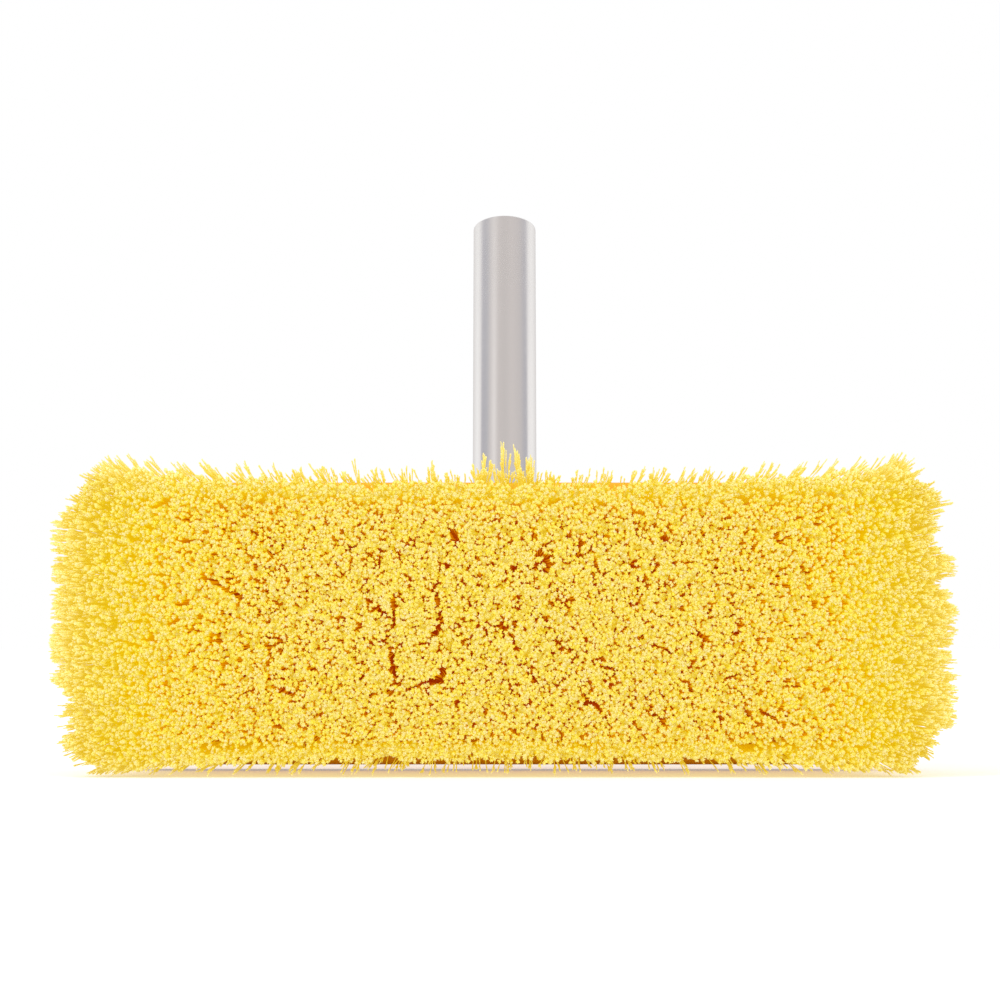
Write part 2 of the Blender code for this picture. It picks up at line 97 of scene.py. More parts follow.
def linear(code: str) -> Colour:
    """Turns an sRGB hex colour into the linear colour that a socket takes.

    Args:
        code: six hex digits after a hash sign.
    Returns:
        Red, green, blue and an alpha of one.
    """
    parts = [int(code[place : place + 2], 16) / 255 for place in (1, 3, 5)]
    red, green, blue = (part / 12.92 if part <= 0.04045 else ((part + 0.055) / 1.055) ** 2.4 for part in parts)
    return red, green, blue, 1.0


def add_node(tree: bpy.types.NodeTree, kind: str, inputs: Inputs = (), **settings: object) -> bpy.types.Node:
    """Adds a node, makes its settings, and fills or links its inputs.

    Args:
        tree: the tree that takes the node.
        kind: the node's type.
        inputs: what each input holds, in their order or by name or number: a value, or a socket or node that feeds it.
        settings: the node's own properties.
    Returns:
        The node.
    """
    node = tree.nodes.new(kind)
    for name, value in settings.items():
        setattr(node, name, value)
    for key, value in inputs.items() if isinstance(inputs, dict) else enumerate(inputs):
        if isinstance(value, bpy.types.Node):
            value = value.outputs[0]
        if isinstance(value, bpy.types.NodeSocket):
            tree.links.new(value, node.inputs[key])
        else:
            node.inputs[key].default_value = value
    return node


# Finishes


@dataclass(frozen=True)
class Finish:
    """A material with one plain look: its sockets, and the pattern that a kind of finish adds."""

    name: str
    colour: str
    roughness: float
    metallic: float = 0.0
    gloss_change: Point2 = (0.0, 0.0)

    def pattern(self, tree: bpy.types.NodeTree, shader: bpy.types.Node) -> None:
        """Adds what varies over the surface. A plain finish has nothing.

        Args:
            tree: the material's tree.
            shader: its shader.
        """

    def make(self) -> bpy.types.Material:
        """Makes the material, once for each name.

        Returns:
            The material.
        """
        found = bpy.data.materials.get(self.name)
        if found:
            return found
        made = bpy.data.materials.new(self.name)
        made.use_nodes = True
        shader = made.node_tree.nodes["Principled BSDF"]
        shader.inputs["Base Color"].default_value = linear(self.colour)
        shader.inputs["Roughness"].default_value = self.roughness
        shader.inputs["Metallic"].default_value = self.metallic
        self.pattern(made.node_tree, shader)
        made.cycles.emission_sampling = "NONE"
        return made

    def vary_gloss(
        self, tree: bpy.types.NodeTree, shader: bpy.types.Node, pattern: Fed, low: float, high: float
    ) -> None:
        """Lets a pattern change the roughness.

        Args:
            tree: the material's tree.
            shader: the shader whose roughness varies.
            pattern: what it varies with.
            low: the pattern's least value.
            high: its greatest.
        """
        least, most = (self.roughness + change for change in self.gloss_change)
        gloss = add_node(tree, MAP, (pattern, low, high, least, most))
        tree.links.new(gloss.outputs[0], shader.inputs["Roughness"])


def bump(tree: bpy.types.NodeTree, shader: bpy.types.Node, height: Fed, depth: float) -> None:
    """Gives a shader a relief.

    Args:
        tree: the material's tree.
        shader: the shader whose normal is bent.
        height: the node that gives the height, from zero to one.
        depth: how deep the relief is, in metres.
    """
    relief = add_node(tree, "ShaderNodeBump", {"Height": height, "Distance": depth, "Strength": 1.0})
    tree.links.new(relief.outputs["Normal"], shader.inputs["Normal"])


@dataclass(frozen=True)
class MouldedPolypropylene(Finish):
    """Structural-foam polypropylene: a satin skin with faint swirls of flow and a fine spark-eroded grain."""

    gloss_change: Point2 = (-0.06, 0.08)
    swirl_colour: str = "#F2A804"
    swirl_width: float = 38 * MM
    grain_width: float = 0.9 * MM
    grain_depth: float = 0.02 * MM

    def pattern(self, tree: bpy.types.NodeTree, shader: bpy.types.Node) -> None:
        """Adds the flow swirls and the grain.

        Args:
            tree: the material's tree.
            shader: its shader.
        """
        place = add_node(tree, "ShaderNodeTexCoord").outputs["Object"]
        flow = {"Vector": place, "Scale": 1 / self.swirl_width, "Detail": 5.0, "Roughness": 0.6, "Distortion": 1.2}
        swirls = add_node(tree, NOISE, flow)
        tints = {0: swirls, 6: linear(self.colour), 7: linear(self.swirl_colour)}
        tree.links.new(add_node(tree, MIX, tints, data_type="RGBA").outputs[2], shader.inputs["Base Color"])
        self.vary_gloss(tree, shader, swirls, 0.0, 1.0)
        grain = add_node(tree, NOISE, {"Vector": place, "Scale": 1 / self.grain_width, "Detail": 2.0})
        bump(tree, shader, grain, self.grain_depth)


@dataclass(frozen=True)
class SplitTipFilament(Finish):
    """Extruded yellow filament: clear and deep in colour along the stem, paler and matt where the tip is split.

    The deeper colour down the stem is partly painted shade, for the saturated shade deep among the tufts.
    The emission is a painted glow, which stands for the light that the clear stems carry down from their tips and give
    back sideways as an amber glow. It is paler in the outermost filaments, whose base colour is painted paler too, as
    painted light, because they stand in the open.
    """

    # The stem's deeper colour is partly painted shade, for the saturated shade deep among the tufts; the paler split
    # tip is its own
    stem_colour: str = "#F2D40C"
    neck_colour: str = "#ECEB0E"
    split_colour: str = "#DFD9AC"
    worn_colour: str = "#E4DC58"
    # Painted light: the paler base colour of the outermost filaments, which stand in the open
    open_painted_light_colour: str = "#F0E9AA"
    # Painted glow: emission that stands for the light the clear stems carry, deep down, at the tips and in the
    # outermost filaments
    deep_painted_glow: str = "#501C01"
    tip_painted_glow: str = "#7D6500"
    open_painted_glow: str = "#7A6A26"
    neck_from: float = 0.84
    neck_at: float = 0.95
    split_at: float = 0.988
    # Where along the filament the painted glow changes from its deep colour to its tip colour
    painted_glow_along: Point2 = (0.35, 0.92)
    shine: float = 0.3

    def pattern(self, tree: bpy.types.NodeTree, shader: bpy.types.Node) -> None:
        """Adds the change of colour from root to tip and from one filament to the next, and the painted light and glow.

        Args:
            tree: the material's tree.
            shader: its shader.
        """
        read = {name: add_node(tree, "ShaderNodeAttribute", attribute_name=name) for name in ("along", "tone", "open")}
        along, tone, outermost = (node.outputs["Fac"] for node in read.values())
        neck = add_node(tree, MAP, (along, self.neck_from, self.neck_at))
        rise = add_node(tree, MAP, (along, self.neck_at, self.split_at))
        depth = add_node(tree, MAP, (along, *self.painted_glow_along))
        mixed: dict[str, bpy.types.NodeSocket] = {}
        # Each mix by its name: what drives it, and its two ends, which are colours or mixes before it
        for name, factor, *ends in (
            ("tip", tone, self.split_colour, self.worn_colour),
            # Partly painted shade: the stem deepens in colour towards the root, where shade falls among the tufts
            ("stem", neck, self.stem_colour, self.neck_colour),
            ("whole", rise, "stem", "tip"),
            # Painted light: the outermost filaments' base colour is painted paler where they stand in the open
            ("Base Color", outermost, "whole", self.open_painted_light_colour),
            # Painted glow: emission for the light that the clear stems carry, amber deep down, yellow at the tips,
            # paler outermost
            ("inside", depth, self.deep_painted_glow, self.tip_painted_glow),
            ("Emission Color", outermost, "inside", self.open_painted_glow),
        ):
            low, high = (mixed[end] if end in mixed else linear(end) for end in ends)
            mixed[name] = add_node(tree, MIX, {0: factor, 6: low, 7: high}, data_type="RGBA").outputs[2]
        for name in ("Base Color", "Emission Color"):
            tree.links.new(mixed[name], shader.inputs[name])
        shader.inputs["Specular IOR Level"].default_value = self.shine
        shader.inputs["Emission Strength"].default_value = 1.0


@dataclass(frozen=True)
class DrawnMetal(Finish):
    """Metal pulled through a die: fine lines along its length that catch the light a little unevenly."""

    gloss_change: Point2 = (-0.05, 0.07)
    line_width: float = 0.35 * MM
    line_length: float = 60 * MM
    line_depth: float = 0.004 * MM
    cloud_width: float = 9 * MM
    tilt: float = 0.0

    def pattern(self, tree: bpy.types.NodeTree, shader: bpy.types.Node) -> None:
        """Adds the draw lines and the clouds of the finish.

        Args:
            tree: the material's tree.
            shader: its shader.
        """
        place = add_node(tree, "ShaderNodeTexCoord").outputs["Object"]
        fine = 1 / self.line_width
        drawn = {"Vector": place, "Rotation": (-self.tilt, 0, 0), "Scale": (fine, fine, 1 / self.line_length)}
        lengthwise = add_node(tree, "ShaderNodeMapping", drawn)
        lines = add_node(tree, NOISE, {"Vector": lengthwise, "Scale": 1.0, "Detail": 2.0})
        clouds = add_node(tree, NOISE, {"Vector": place, "Scale": 1 / self.cloud_width, "Detail": 3.0})
        self.vary_gloss(tree, shader, add_node(tree, MATHS, (lines, clouds), operation="ADD"), 0.5, 1.5)
        bump(tree, shader, lines, self.line_depth)


@dataclass(frozen=True)
class AnodisedTube(DrawnMetal):
    """Drawn aluminium tube: polished and anodised outside, but left dull and grey by the mandrel inside.

    Its upper end is a little scuffed by the poles that it snaps into, so it mirrors the room less sharply there.
    """

    dull_roughness: float = 0.6
    dull_metallic: float = 0.35
    scuffed_from: float = 120 * MM
    scuffed_to: float = 215 * MM
    scuff: float = 0.13

    def pattern(self, tree: bpy.types.NodeTree, shader: bpy.types.Node) -> None:
        """Adds the draw lines and the scuffed end, and dulls the inside of the tube.

        Args:
            tree: the material's tree.
            shader: its shader.
        """
        super().pattern(tree, shader)
        place = add_node(tree, "ShaderNodeTexCoord").outputs["Object"]
        height = add_node(tree, SPLIT, (place,)).outputs[2]
        scuffed = add_node(tree, MAP, (height, self.scuffed_from, self.scuffed_to, 0.0, self.scuff))
        drawn = shader.inputs["Roughness"].links[0].from_socket
        bright = add_node(tree, MATHS, (drawn, scuffed), operation="ADD")
        inside = add_node(tree, "ShaderNodeAttribute", attribute_name="inside").outputs["Fac"]
        gloss = add_node(tree, MIX, {0: inside, 2: bright, 3: self.dull_roughness}, data_type="FLOAT")
        metal = add_node(tree, MAP, (inside, 0.0, 1.0, 1.0, self.dull_metallic))
        tree.links.new(gloss.outputs[0], shader.inputs["Roughness"])
        tree.links.new(metal.outputs[0], shader.inputs["Metallic"])


# Colours as the eye sees them under white light
POLYPROPYLENE = MouldedPolypropylene("moulded_yellow_polypropylene", "#F5B812", 0.42)
FILAMENT = SplitTipFilament("split_tip_polystyrene_filament", "#FFE07A", 0.5)
ALUMINIUM = AnodisedTube("bright_anodised_aluminium", "#EEEDEC", 0.15, 1.0, tilt=HANDLE_LEAN)
STAINLESS = DrawnMetal("turned_stainless_steel", "#C9C7C4", 0.24, 1.0, line_width=0.5 * MM, line_length=0.5 * MM)
SPRING_STEEL = DrawnMetal("tempered_spring_steel", "#8D8B8A", 0.3, 1.0, tilt=HANDLE_LEAN)


# Shapes


class Shading(Enum):
    """How a piece is shaded: round stretches smooth, with edges sharp past this angle in degrees."""

    FACETED = 0
    MOULDED = 40
    TURNED = 30


class Carving(Enum):
    """What carving does with its tools: cuts them out of the piece, or joins them to it."""

    CUT_OUT = "DIFFERENCE"
    JOINED = "UNION"


class Side(Enum):
    """A side of the handle, with its sign along X."""

    RIGHT = 1
    LEFT = -1


def new_object(name: str, cage: bmesh.types.BMesh) -> bpy.types.Object:
    """Makes an object of a cage and puts it in the scene.

    Args:
        name: the object's name.
        cage: its mesh, which is freed.
    Returns:
        The object.
    """
    mesh = bpy.data.meshes.new(name)
    cage.to_mesh(mesh)
    cage.free()
    made = bpy.data.objects.new(name, mesh)
    bpy.context.scene.collection.objects.link(made)
    return made


def lathe(name: str, profile: Sequence[Point2], steps: int, closed: bool = False) -> bpy.types.Object:
    """Turns a profile of (radius, height) points about Z.

    Args:
        name: the object's name.
        profile: the points, from one end of the outline to the other.
        steps: the number of facets round the axis.
        closed: whether the last point is joined to the first, as in a tube's wall.
    Returns:
        A closed mesh about its own axis.
    """
    cage = bmesh.new()
    points = [cage.verts.new((radius, 0, height)) for radius, height in profile]
    pairs = list(zip(points, points[1:])) + ([(points[-1], points[0])] if closed else [])
    edges = [cage.edges.new(pair) for pair in pairs]
    bmesh.ops.spin(
        cage, geom=points + edges, axis=(0, 0, 1), cent=(0, 0, 0), angle=2 * math.pi, steps=steps, use_merge=True
    )
    bmesh.ops.remove_doubles(cage, verts=cage.verts, dist=MM / 1000)
    bmesh.ops.recalc_face_normals(cage, faces=cage.faces)
    return new_object(name, cage)


def pin(name: str, radius: float, low: float, high: float, steps: int) -> bpy.types.Object:
    """A plain round pin about Z, to bore a hole with.

    Args:
        name: the object's name.
        radius: its radius.
        low: the height of its lower end.
        high: the height of its upper end.
        steps: the number of facets round it.
    Returns:
        A closed mesh about its own axis.
    """
    return lathe(name, [(0, high), (radius, high), (radius, low), (0, low)], steps)


def arc(centre: Point2, radius: float, start: float, end: float, steps: int) -> list[Point2]:
    """Points on an arc.

    Args:
        centre: the arc's centre.
        radius: its radius.
        start: the first angle, in degrees.
        end: the last angle, in degrees.
        steps: the number of stretches between the points.
    Returns:
        The points, both ends included.
    """
    angles = [math.radians(start + (end - start) * step / steps) for step in range(steps + 1)]
    return [(centre[0] + radius * math.cos(angle), centre[1] + radius * math.sin(angle)) for angle in angles]


def round_corners(half_length: float, half_height: float, radius: float, steps: int) -> list[Point2]:
    """The outline of a rectangle with round corners, about its middle.

    Args:
        half_length: half the length, along X.
        half_height: half the height.
        radius: the corners' radius.
        steps: the stretches in each corner.
    Returns:
        The points, anticlockwise.
    """
    outline: list[Point2] = []
    for quarter, (right, up) in enumerate(((1, 1), (-1, 1), (-1, -1), (1, -1))):
        corner = (right * (half_length - radius), up * (half_height - radius))
        outline += arc(corner, radius, 90 * quarter, 90 * quarter + 90, steps)
    return outline


def loft(name: str, rings: Sequence[Sequence[Vector]]) -> bpy.types.Object:
    """Skins a row of rings with the same number of points, and closes both ends.

    Args:
        name: the object's name.
        rings: the rings, from one end to the other.
    Returns:
        A closed mesh.
    """
    cage = bmesh.new()
    made = [[cage.verts.new(point) for point in ring] for ring in rings]
    for lower, upper in zip(made, made[1:]):
        for place in range(len(lower)):
            after = (place + 1) % len(lower)
            cage.faces.new((lower[place], lower[after], upper[after], upper[place]))
    cage.faces.new(made[0][::-1])
    cage.faces.new(made[-1])
    bmesh.ops.recalc_face_normals(cage, faces=cage.faces)
    return new_object(name, cage)


def bake(obj: bpy.types.Object) -> bpy.types.Object:
    """Turns what an object's modifiers give into its plain mesh, and removes them.

    Args:
        obj: the object.
    Returns:
        The same object.
    """
    graph = bpy.context.evaluated_depsgraph_get()
    mesh = bpy.data.meshes.new_from_object(obj.evaluated_get(graph))
    obj.modifiers.clear()
    obj.data = mesh
    return obj


def carve(
    obj: bpy.types.Object, tools: Iterable[bpy.types.Object], way: Carving = Carving.CUT_OUT
) -> bpy.types.Object:
    """Cuts shapes out of a piece, or joins them to it.

    Args:
        obj: the piece.
        tools: the shapes, which are used up.
        way: what is done with them.
    Returns:
        The piece.
    """
    used = list(tools)
    for tool in used:
        change = obj.modifiers.new(tool.name, "BOOLEAN")
        change.object = tool
        change.operation = way.value
        change.solver = "EXACT"
    bake(obj)
    for tool in used:
        bpy.data.objects.remove(tool)
    return obj


def moved(obj: bpy.types.Object, matrix: Matrix) -> bpy.types.Object:
    """Moves a piece's mesh, so that its object stays at the origin."""
    obj.data.transform(matrix)
    return obj


def dress(
    obj: bpy.types.Object, finish: Finish, shading: Shading, body: str, stands_for: Sequence[str]
) -> bpy.types.Object:
    """Gives a finished piece its material, its shading and its body, and hides the nodes that it stands for.

    Args:
        obj: the piece, in its place.
        finish: its material.
        shading: how it is shaded.
        body: the body that it rides on.
        stands_for: the names of the nodes that it replaces.
    Returns:
        The piece.
    """
    obj.data.materials.clear()
    obj.data.materials.append(finish.make())
    if shading is not Shading.FACETED:
        obj.data.shade_smooth()
        obj.data.set_sharp_from_angle(angle=math.radians(shading.value))
    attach(obj, body)
    if stands_for:
        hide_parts(*stands_for)
    obj.data.calc_loop_triangles()
    log.info("%s: %d triangles", obj.name, len(obj.data.loop_triangles))
    return obj


# Sub-assemblies


@dataclass
class HandleLine:
    """The line that the tube, the button and the screws are set out on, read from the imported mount."""

    tube_length: float = 186 * MM
    lean: float = HANDLE_LEAN
    screw_height: float = 31 * MM
    button_below_end: float = 28 * MM

    def __post_init__(self) -> None:
        """Works out how high up the tube the button is."""
        self.button_height = self.tube_length - self.button_below_end

    def foot(self) -> Vector:
        """The middle of the tube's lower end.

        Returns:
            The point.
        """
        mount = next(mount for mount in frame["record"]["mounts"] if mount["name"] == "tube_end")
        end = Vector((0, mount["pos_m"][1], mount["pos_m"][2]))
        return end - self.tube_length * Vector(mount["axis"])

    def matrix(self) -> Matrix:
        """The move from a shape about Z to its place on the line. Its Y points away from the tufts."""
        return Matrix.Translation(self.foot()) @ Matrix.Rotation(-self.lean, 4, "X")

    def at_screws(self, side: Side = Side.RIGHT) -> Matrix:
        """The move that lays a shape along the screws' axis, pointing to a side."""
        there = self.matrix() @ Matrix.Translation((0, 0, self.screw_height))
        return there @ Matrix.Rotation(side.value * math.pi / 2, 4, "Y")

    def at_button(self) -> Matrix:
        """The move that points a shape away from the tufts, on the button's axis."""
        there = self.matrix() @ Matrix.Translation((0, 0, self.button_height))
        return there @ Matrix.Rotation(-math.pi / 2, 4, "X")


# Strands that stand up in front of the tube: (x, z) of the end in millimetres about the face's middle, and filaments
STANDING_STRANDS = (
    (-7.0, 55.0, 8),
    (-3.0, 56.5, 7),
    (1.0, 54.5, 8),
    (5.0, 56.0, 8),
    (9.0, 54.5, 7),
    (-8.0, 61.0, 5),
    (-4.6, 59.5, 4),
    (-0.4, 65.4, 6),
    (2.2, 62.0, 4),
    (4.6, 63.8, 6),
    (8.4, 60.5, 5),
    (10.2, 59.0, 4),
)

# Where the tufts have parted: (x, z, half width) in millimetres about the face's middle
PARTING_LINES = (
    ((-18.8, 32.7, 1.6), (-18.4, 31.5, 1.6)),
    ((-26.0, 13.5, 0.8), (-25.0, 10.0, 1.1), (-24.4, 6.0, 0.9)),
    ((-23.6, 3.5, 0.7), (-23.3, 0.0, 1.6), (-25.0, -3.0, 1.6), (-27.0, -5.5, 0.9)),
    ((-23.8, -7.8, 0.5), (-22.8, -13.0, 0.6), (-23.0, -18.0, 1.7), (-24.0, -20.5, 1.5)),
    ((-24.0, -20.5, 1.3), (-30.0, -21.8, 0.7), (-36.0, -24.8, 0.8)),
    ((-40.6, 9.3, 1.1), (-40.4, 6.0, 1.1), (-40.3, 0.0, 0.4), (-43.0, -3.5, 0.6), (-43.5, -7.5, 0.7)),
    ((-42.0, -9.3, 1.2), (-40.8, -15.5, 1.0), (-39.8, -21.5, 1.2)),
    ((-49.0, 6.2, 0.6), (-45.5, 4.5, 0.8), (-40.6, 1.8, 0.5)),
    ((-0.8, -1.0, 1.6), (0.4, -1.8, 1.6)),
    ((15.0, 23.0, 1.2), (15.8, 22.4, 1.2)),
    ((20.0, 9.0, 1.6), (22.0, 8.2, 1.6)),
    ((27.5, 29.0, 1.3), (27.0, 26.5, 1.3)),
    ((-110.0, 17.0, 0.7), (-104.0, 14.0, 0.9), (-97.0, 9.0, 0.7)),
    ((-84.0, -23.0, 0.9), (-78.0, -26.0, 0.8)),
    ((-136.0, 45.5, 0.7), (-128.0, 44.5, 0.8)),
    ((72.0, -5.0, 0.7), (76.0, -7.0, 0.8)),
    ((86.0, -1.0, 0.8), (84.5, -4.0, 0.8)),
    ((94.0, -32.0, 0.7), (101.0, -36.0, 0.8)),
    ((58.0, -33.5, 1.0), (58.5, -37.5, 0.9)),
    ((20.0, -7.0, 0.8), (24.5, -11.5, 0.8)),
    ((36.0, -15.5, 1.0), (40.0, -17.5, 1.0), (40.5, -21.0, 0.9)),
    ((27.0, -23.5, 0.8), (31.0, -28.5, 0.9), (35.0, -31.0, 0.7)),
)

# How far each row's end bunches are raised, in millimetres, so that they point away from the four corners
END_RISES = (4.5, 4.5, 2, 0, 0, 0, 0, 0, 0, 0, -2, -4, -3)

# What the points of the tufts, and then of the filaments, carry until the row is grown
WORKINGS = {
    "tip": "FLOAT_VECTOR",
    "spread": "FLOAT_VECTOR",
    "hole": "FLOAT",
    "pale": "FLOAT",
    "plumes": "FLOAT",
    "count": "INT",
    "root": "FLOAT_VECTOR",
    "way": "FLOAT_VECTOR",
    "bend": "FLOAT_VECTOR",
    "reach": "FLOAT",
}


@dataclass(frozen=True)
class Tuft:
    """One bundle of filaments: its root (x, z) about the face's middle, the middle of its end, and its spread there.

    Its roots fill a hole of that radius. Plumes is the share of its filaments that stand alone, and pale is how far
    along, in colour, even their roots are, as painted light on filaments that stand in the open.
    """

    root: Point2
    tip: Vector
    spread: Point2
    hole: float
    count: int
    plumes: float = 0.0
    pale: float = 0.0


@dataclass(frozen=True)
class Fringe:
    """The stray bunches that each tuft by an edge has past it, in millimetres.

    Outwards holds the least, the greatest and the usual length past the tuft, and along is how far a bunch may be
    to either side.
    """

    bunches: int
    outwards: tuple[float, float, float]
    along: float
    forwards: Point2
    filaments: tuple[int, int]
    width: Point2


TOP_FRINGE = Fringe(12, (1.5, 10.8, 6.2), 4.0, (0.8, 6.0), (1, 2), (0.2, 1.0))
BOTTOM_FRINGE = Fringe(5, (2.0, 10.0, 6.0), 4.0, (0.8, 6.0), (1, 2), (0.2, 1.0))
END_FRINGE = Fringe(10, (0.5, 9.0, 4.5), 5.0, (0.5, 9.0), (2, 5), (0.2, 0.8))
CORNER_FRINGE = Fringe(14, (0.5, 9.0, 4.5), 5.0, (0.5, 9.0), (2, 5), (0.2, 0.8))


@dataclass
class RowTree:
    """The Geometry Nodes that grow a row's filaments from the points of its tufts, with a method for each step.

    A pitch is how fine a noise is beside that of the clumps. A range holds a stretch of a noise, and what that
    stretch is turned into. A power says how close to the field's edge a change begins.
    """

    sizes: Iterable[str]
    tips_at: float
    middle: float
    kinds: int
    variants: bpy.types.Collection
    partings: bpy.types.Object
    golden_angle: float = 2.39996
    turn_by_place: float = 977.0
    unruly_power: float = 12.0
    unruly_reach: float = 2.5
    calm_power: float = 3.0
    calming: float = -0.25
    patch_pitch: float = 0.18
    patch_range: tuple[float, ...] = (0.35, 0.65, 0.3, 2.0)
    tear_pitch: float = 2.2
    tear_range: tuple[float, ...] = (0.3, 0.7, 0.1, 1.9)
    push_range: Point2 = (0.6, 1.2)
    worn_range: Point2 = (0.52, 0.72)
    bunch_pitch: float = 0.9
    bunch_stretch: Point3 = (0.35, 0.35, 1.0)
    bunch_range: tuple[float, ...] = (0.38, 0.62, -0.8, 1.0)
    bunch_power: float = 8.0
    ragged_power: float = 2.0
    ragged_floor: float = 0.5
    corner_powers: Point2 = (4.0, 3.5)
    bow_powers: Point2 = (10.0, 9.0)
    bow_upwards: float = 0.5
    open_power: float = 1.5
    whole_turn: float = 6.283

    def __post_init__(self) -> None:
        """Makes the tree with its named sockets, and the nodes that read what the points carry."""
        self.tree = bpy.data.node_groups.new("tuft_row", "GeometryNodeTree")
        sockets = [("Tufts", "INPUT", "NodeSocketGeometry")]
        sockets += [(name, "INPUT", "NodeSocketFloat") for name in self.sizes]
        sockets += [("Seed", "INPUT", "NodeSocketInt"), ("Row", "OUTPUT", "NodeSocketGeometry")]
        for name, side, kind in sockets:
            self.tree.interface.new_socket(name, in_out=side, socket_type=kind)
        self.given = self.add("NodeGroupInput").outputs
        self.stored = {
            name: self.add("GeometryNodeInputNamedAttribute", (name,), data_type=kind)
            for name, kind in (WORKINGS | {"along": "FLOAT", "width": "FLOAT"}).items()
        }

    def add(self, kind: str, inputs: Inputs = (), **settings: object) -> bpy.types.Node:
        """Adds a node to the row's tree."""
        return add_node(self.tree, kind, inputs, **settings)

    def chance(self, low: Fed, high: Fed, offset: int) -> bpy.types.NodeSocket:
        """A random number for each filament, with an offset of its own."""
        seed = self.add(MATHS, (self.given["Seed"], float(offset)), operation="ADD")
        return self.add("FunctionNodeRandomValue", {2: low, 3: high, "Seed": seed}, data_type="FLOAT").outputs[1]

    def nearness(self, distance: Fed, half: Fed, power: float) -> bpy.types.Node:
        """How near a tip is to the field's edge.

        Args:
            distance: the tip's distance from the middle line, on either side.
            half: the edge's distance from it.
            power: the higher it is, the closer to the edge the rise begins.
        Returns:
            The node that gives it, from 0 in the middle to 1 at the edge.
        """
        share = self.add(MATHS, (self.add(MATHS, (distance,), operation="ABSOLUTE"), half), operation="DIVIDE")
        return self.add(MATHS, (share, power), operation="POWER")

    def sow(self) -> tuple[bpy.types.NodeSocket, bpy.types.Node, bpy.types.Node]:
        """Fills each tuft evenly by a golden-angle spread, whose turn differs from tuft to tuft.

        Returns:
            The filaments' points, each one's place in its tuft's unit disc, and its root.
        """
        count = self.stored["count"]
        sown = {"Geometry": self.given["Tufts"], "Amount": count}
        grown = self.add("GeometryNodeDuplicateElements", sown, domain="POINT").outputs
        number = grown["Duplicate Index"]
        place = self.add("GeometryNodeInputPosition")
        share = self.add(MATHS, (self.add(MATHS, (number, 0.5), operation="ADD"), count), operation="DIVIDE")
        radius = self.add(MATHS, (share,), operation="SQRT")
        first = self.add(MATHS, (self.add(SPLIT, (place,)), self.turn_by_place), operation="MULTIPLY")
        turned = self.add(MATHS, (number, self.golden_angle), operation="MULTIPLY")
        angle = self.add(MATHS, (turned, first), operation="ADD")
        across = self.add(MATHS, (self.add(MATHS, (angle,), operation="COSINE"), radius), operation="MULTIPLY")
        up = self.add(MATHS, (self.add(MATHS, (angle,), operation="SINE"), radius), operation="MULTIPLY")
        disc = self.add(JOIN, (across, 0.0, up))
        in_hole = self.add(VECTORS, {0: disc, "Scale": self.stored["hole"]}, operation="SCALE")
        return grown[0], disc, self.add(VECTORS, (place, in_hole), operation="ADD")

    def drift(self, disc: bpy.types.Node) -> bpy.types.Node:
        """Scatters the tips, a few of them far, and lets them drift together in clumps, more in some patches.

        Args:
            disc: each filament's place in its tuft's unit disc.
        Returns:
            The node that gives its end.
        """
        spread = self.add(VECTORS, (disc, self.stored["spread"]), operation="MULTIPLY")
        even = self.add(VECTORS, (self.stored["tip"], spread), operation="ADD")
        jitter = self.add(JOIN, (self.chance(-1.0, 1.0, 1), 0.0, self.chance(-1.0, 1.0, 2)))
        few = self.add(MATHS, (self.chance(0.0, 1.0, 9), self.unruly_power), operation="POWER")
        unruly = self.add(MATHS, (few, self.unruly_reach, 1.0), operation="MULTIPLY_ADD")
        far = self.add(MATHS, (self.given["Tip Scatter"], unruly), operation="MULTIPLY")
        scatter = self.add(VECTORS, {0: jitter, "Scale": far}, operation="SCALE")
        end = self.add(VECTORS, (even, scatter), operation="ADD")

        clump = self.add(MATHS, (1.0, self.given["Clump Width"]), operation="DIVIDE")
        clumps = self.add(NOISE, {"Vector": end, "Scale": clump, "Detail": 2.0}).outputs["Color"]
        about = self.add(VECTORS, (clumps, (0.5, 0.5, 0.5)), operation="SUBTRACT")
        drift = self.add(VECTORS, {0: about, "Scale": self.given["Clump Shift"]}, operation="SCALE")
        calm = self.nearness(self.add(SPLIT, (end,)), self.given["Half Length"], self.calm_power)
        lively = self.add(MATHS, (calm, self.calming, 1.0), operation="MULTIPLY_ADD")
        patch = self.add(MATHS, (self.patch_pitch, self.given["Clump Width"]), operation="DIVIDE")
        patches = self.add(NOISE, {"Vector": end, "Scale": patch})
        restless = self.add(MAP, (patches, *self.patch_range))
        for factor in (lively, restless):
            drift = self.add(VECTORS, {0: drift, "Scale": factor}, operation="SCALE")
        level = self.add(VECTORS, (drift, (1, 0, 1)), operation="MULTIPLY")
        return self.add(VECTORS, (end, level), operation="ADD")

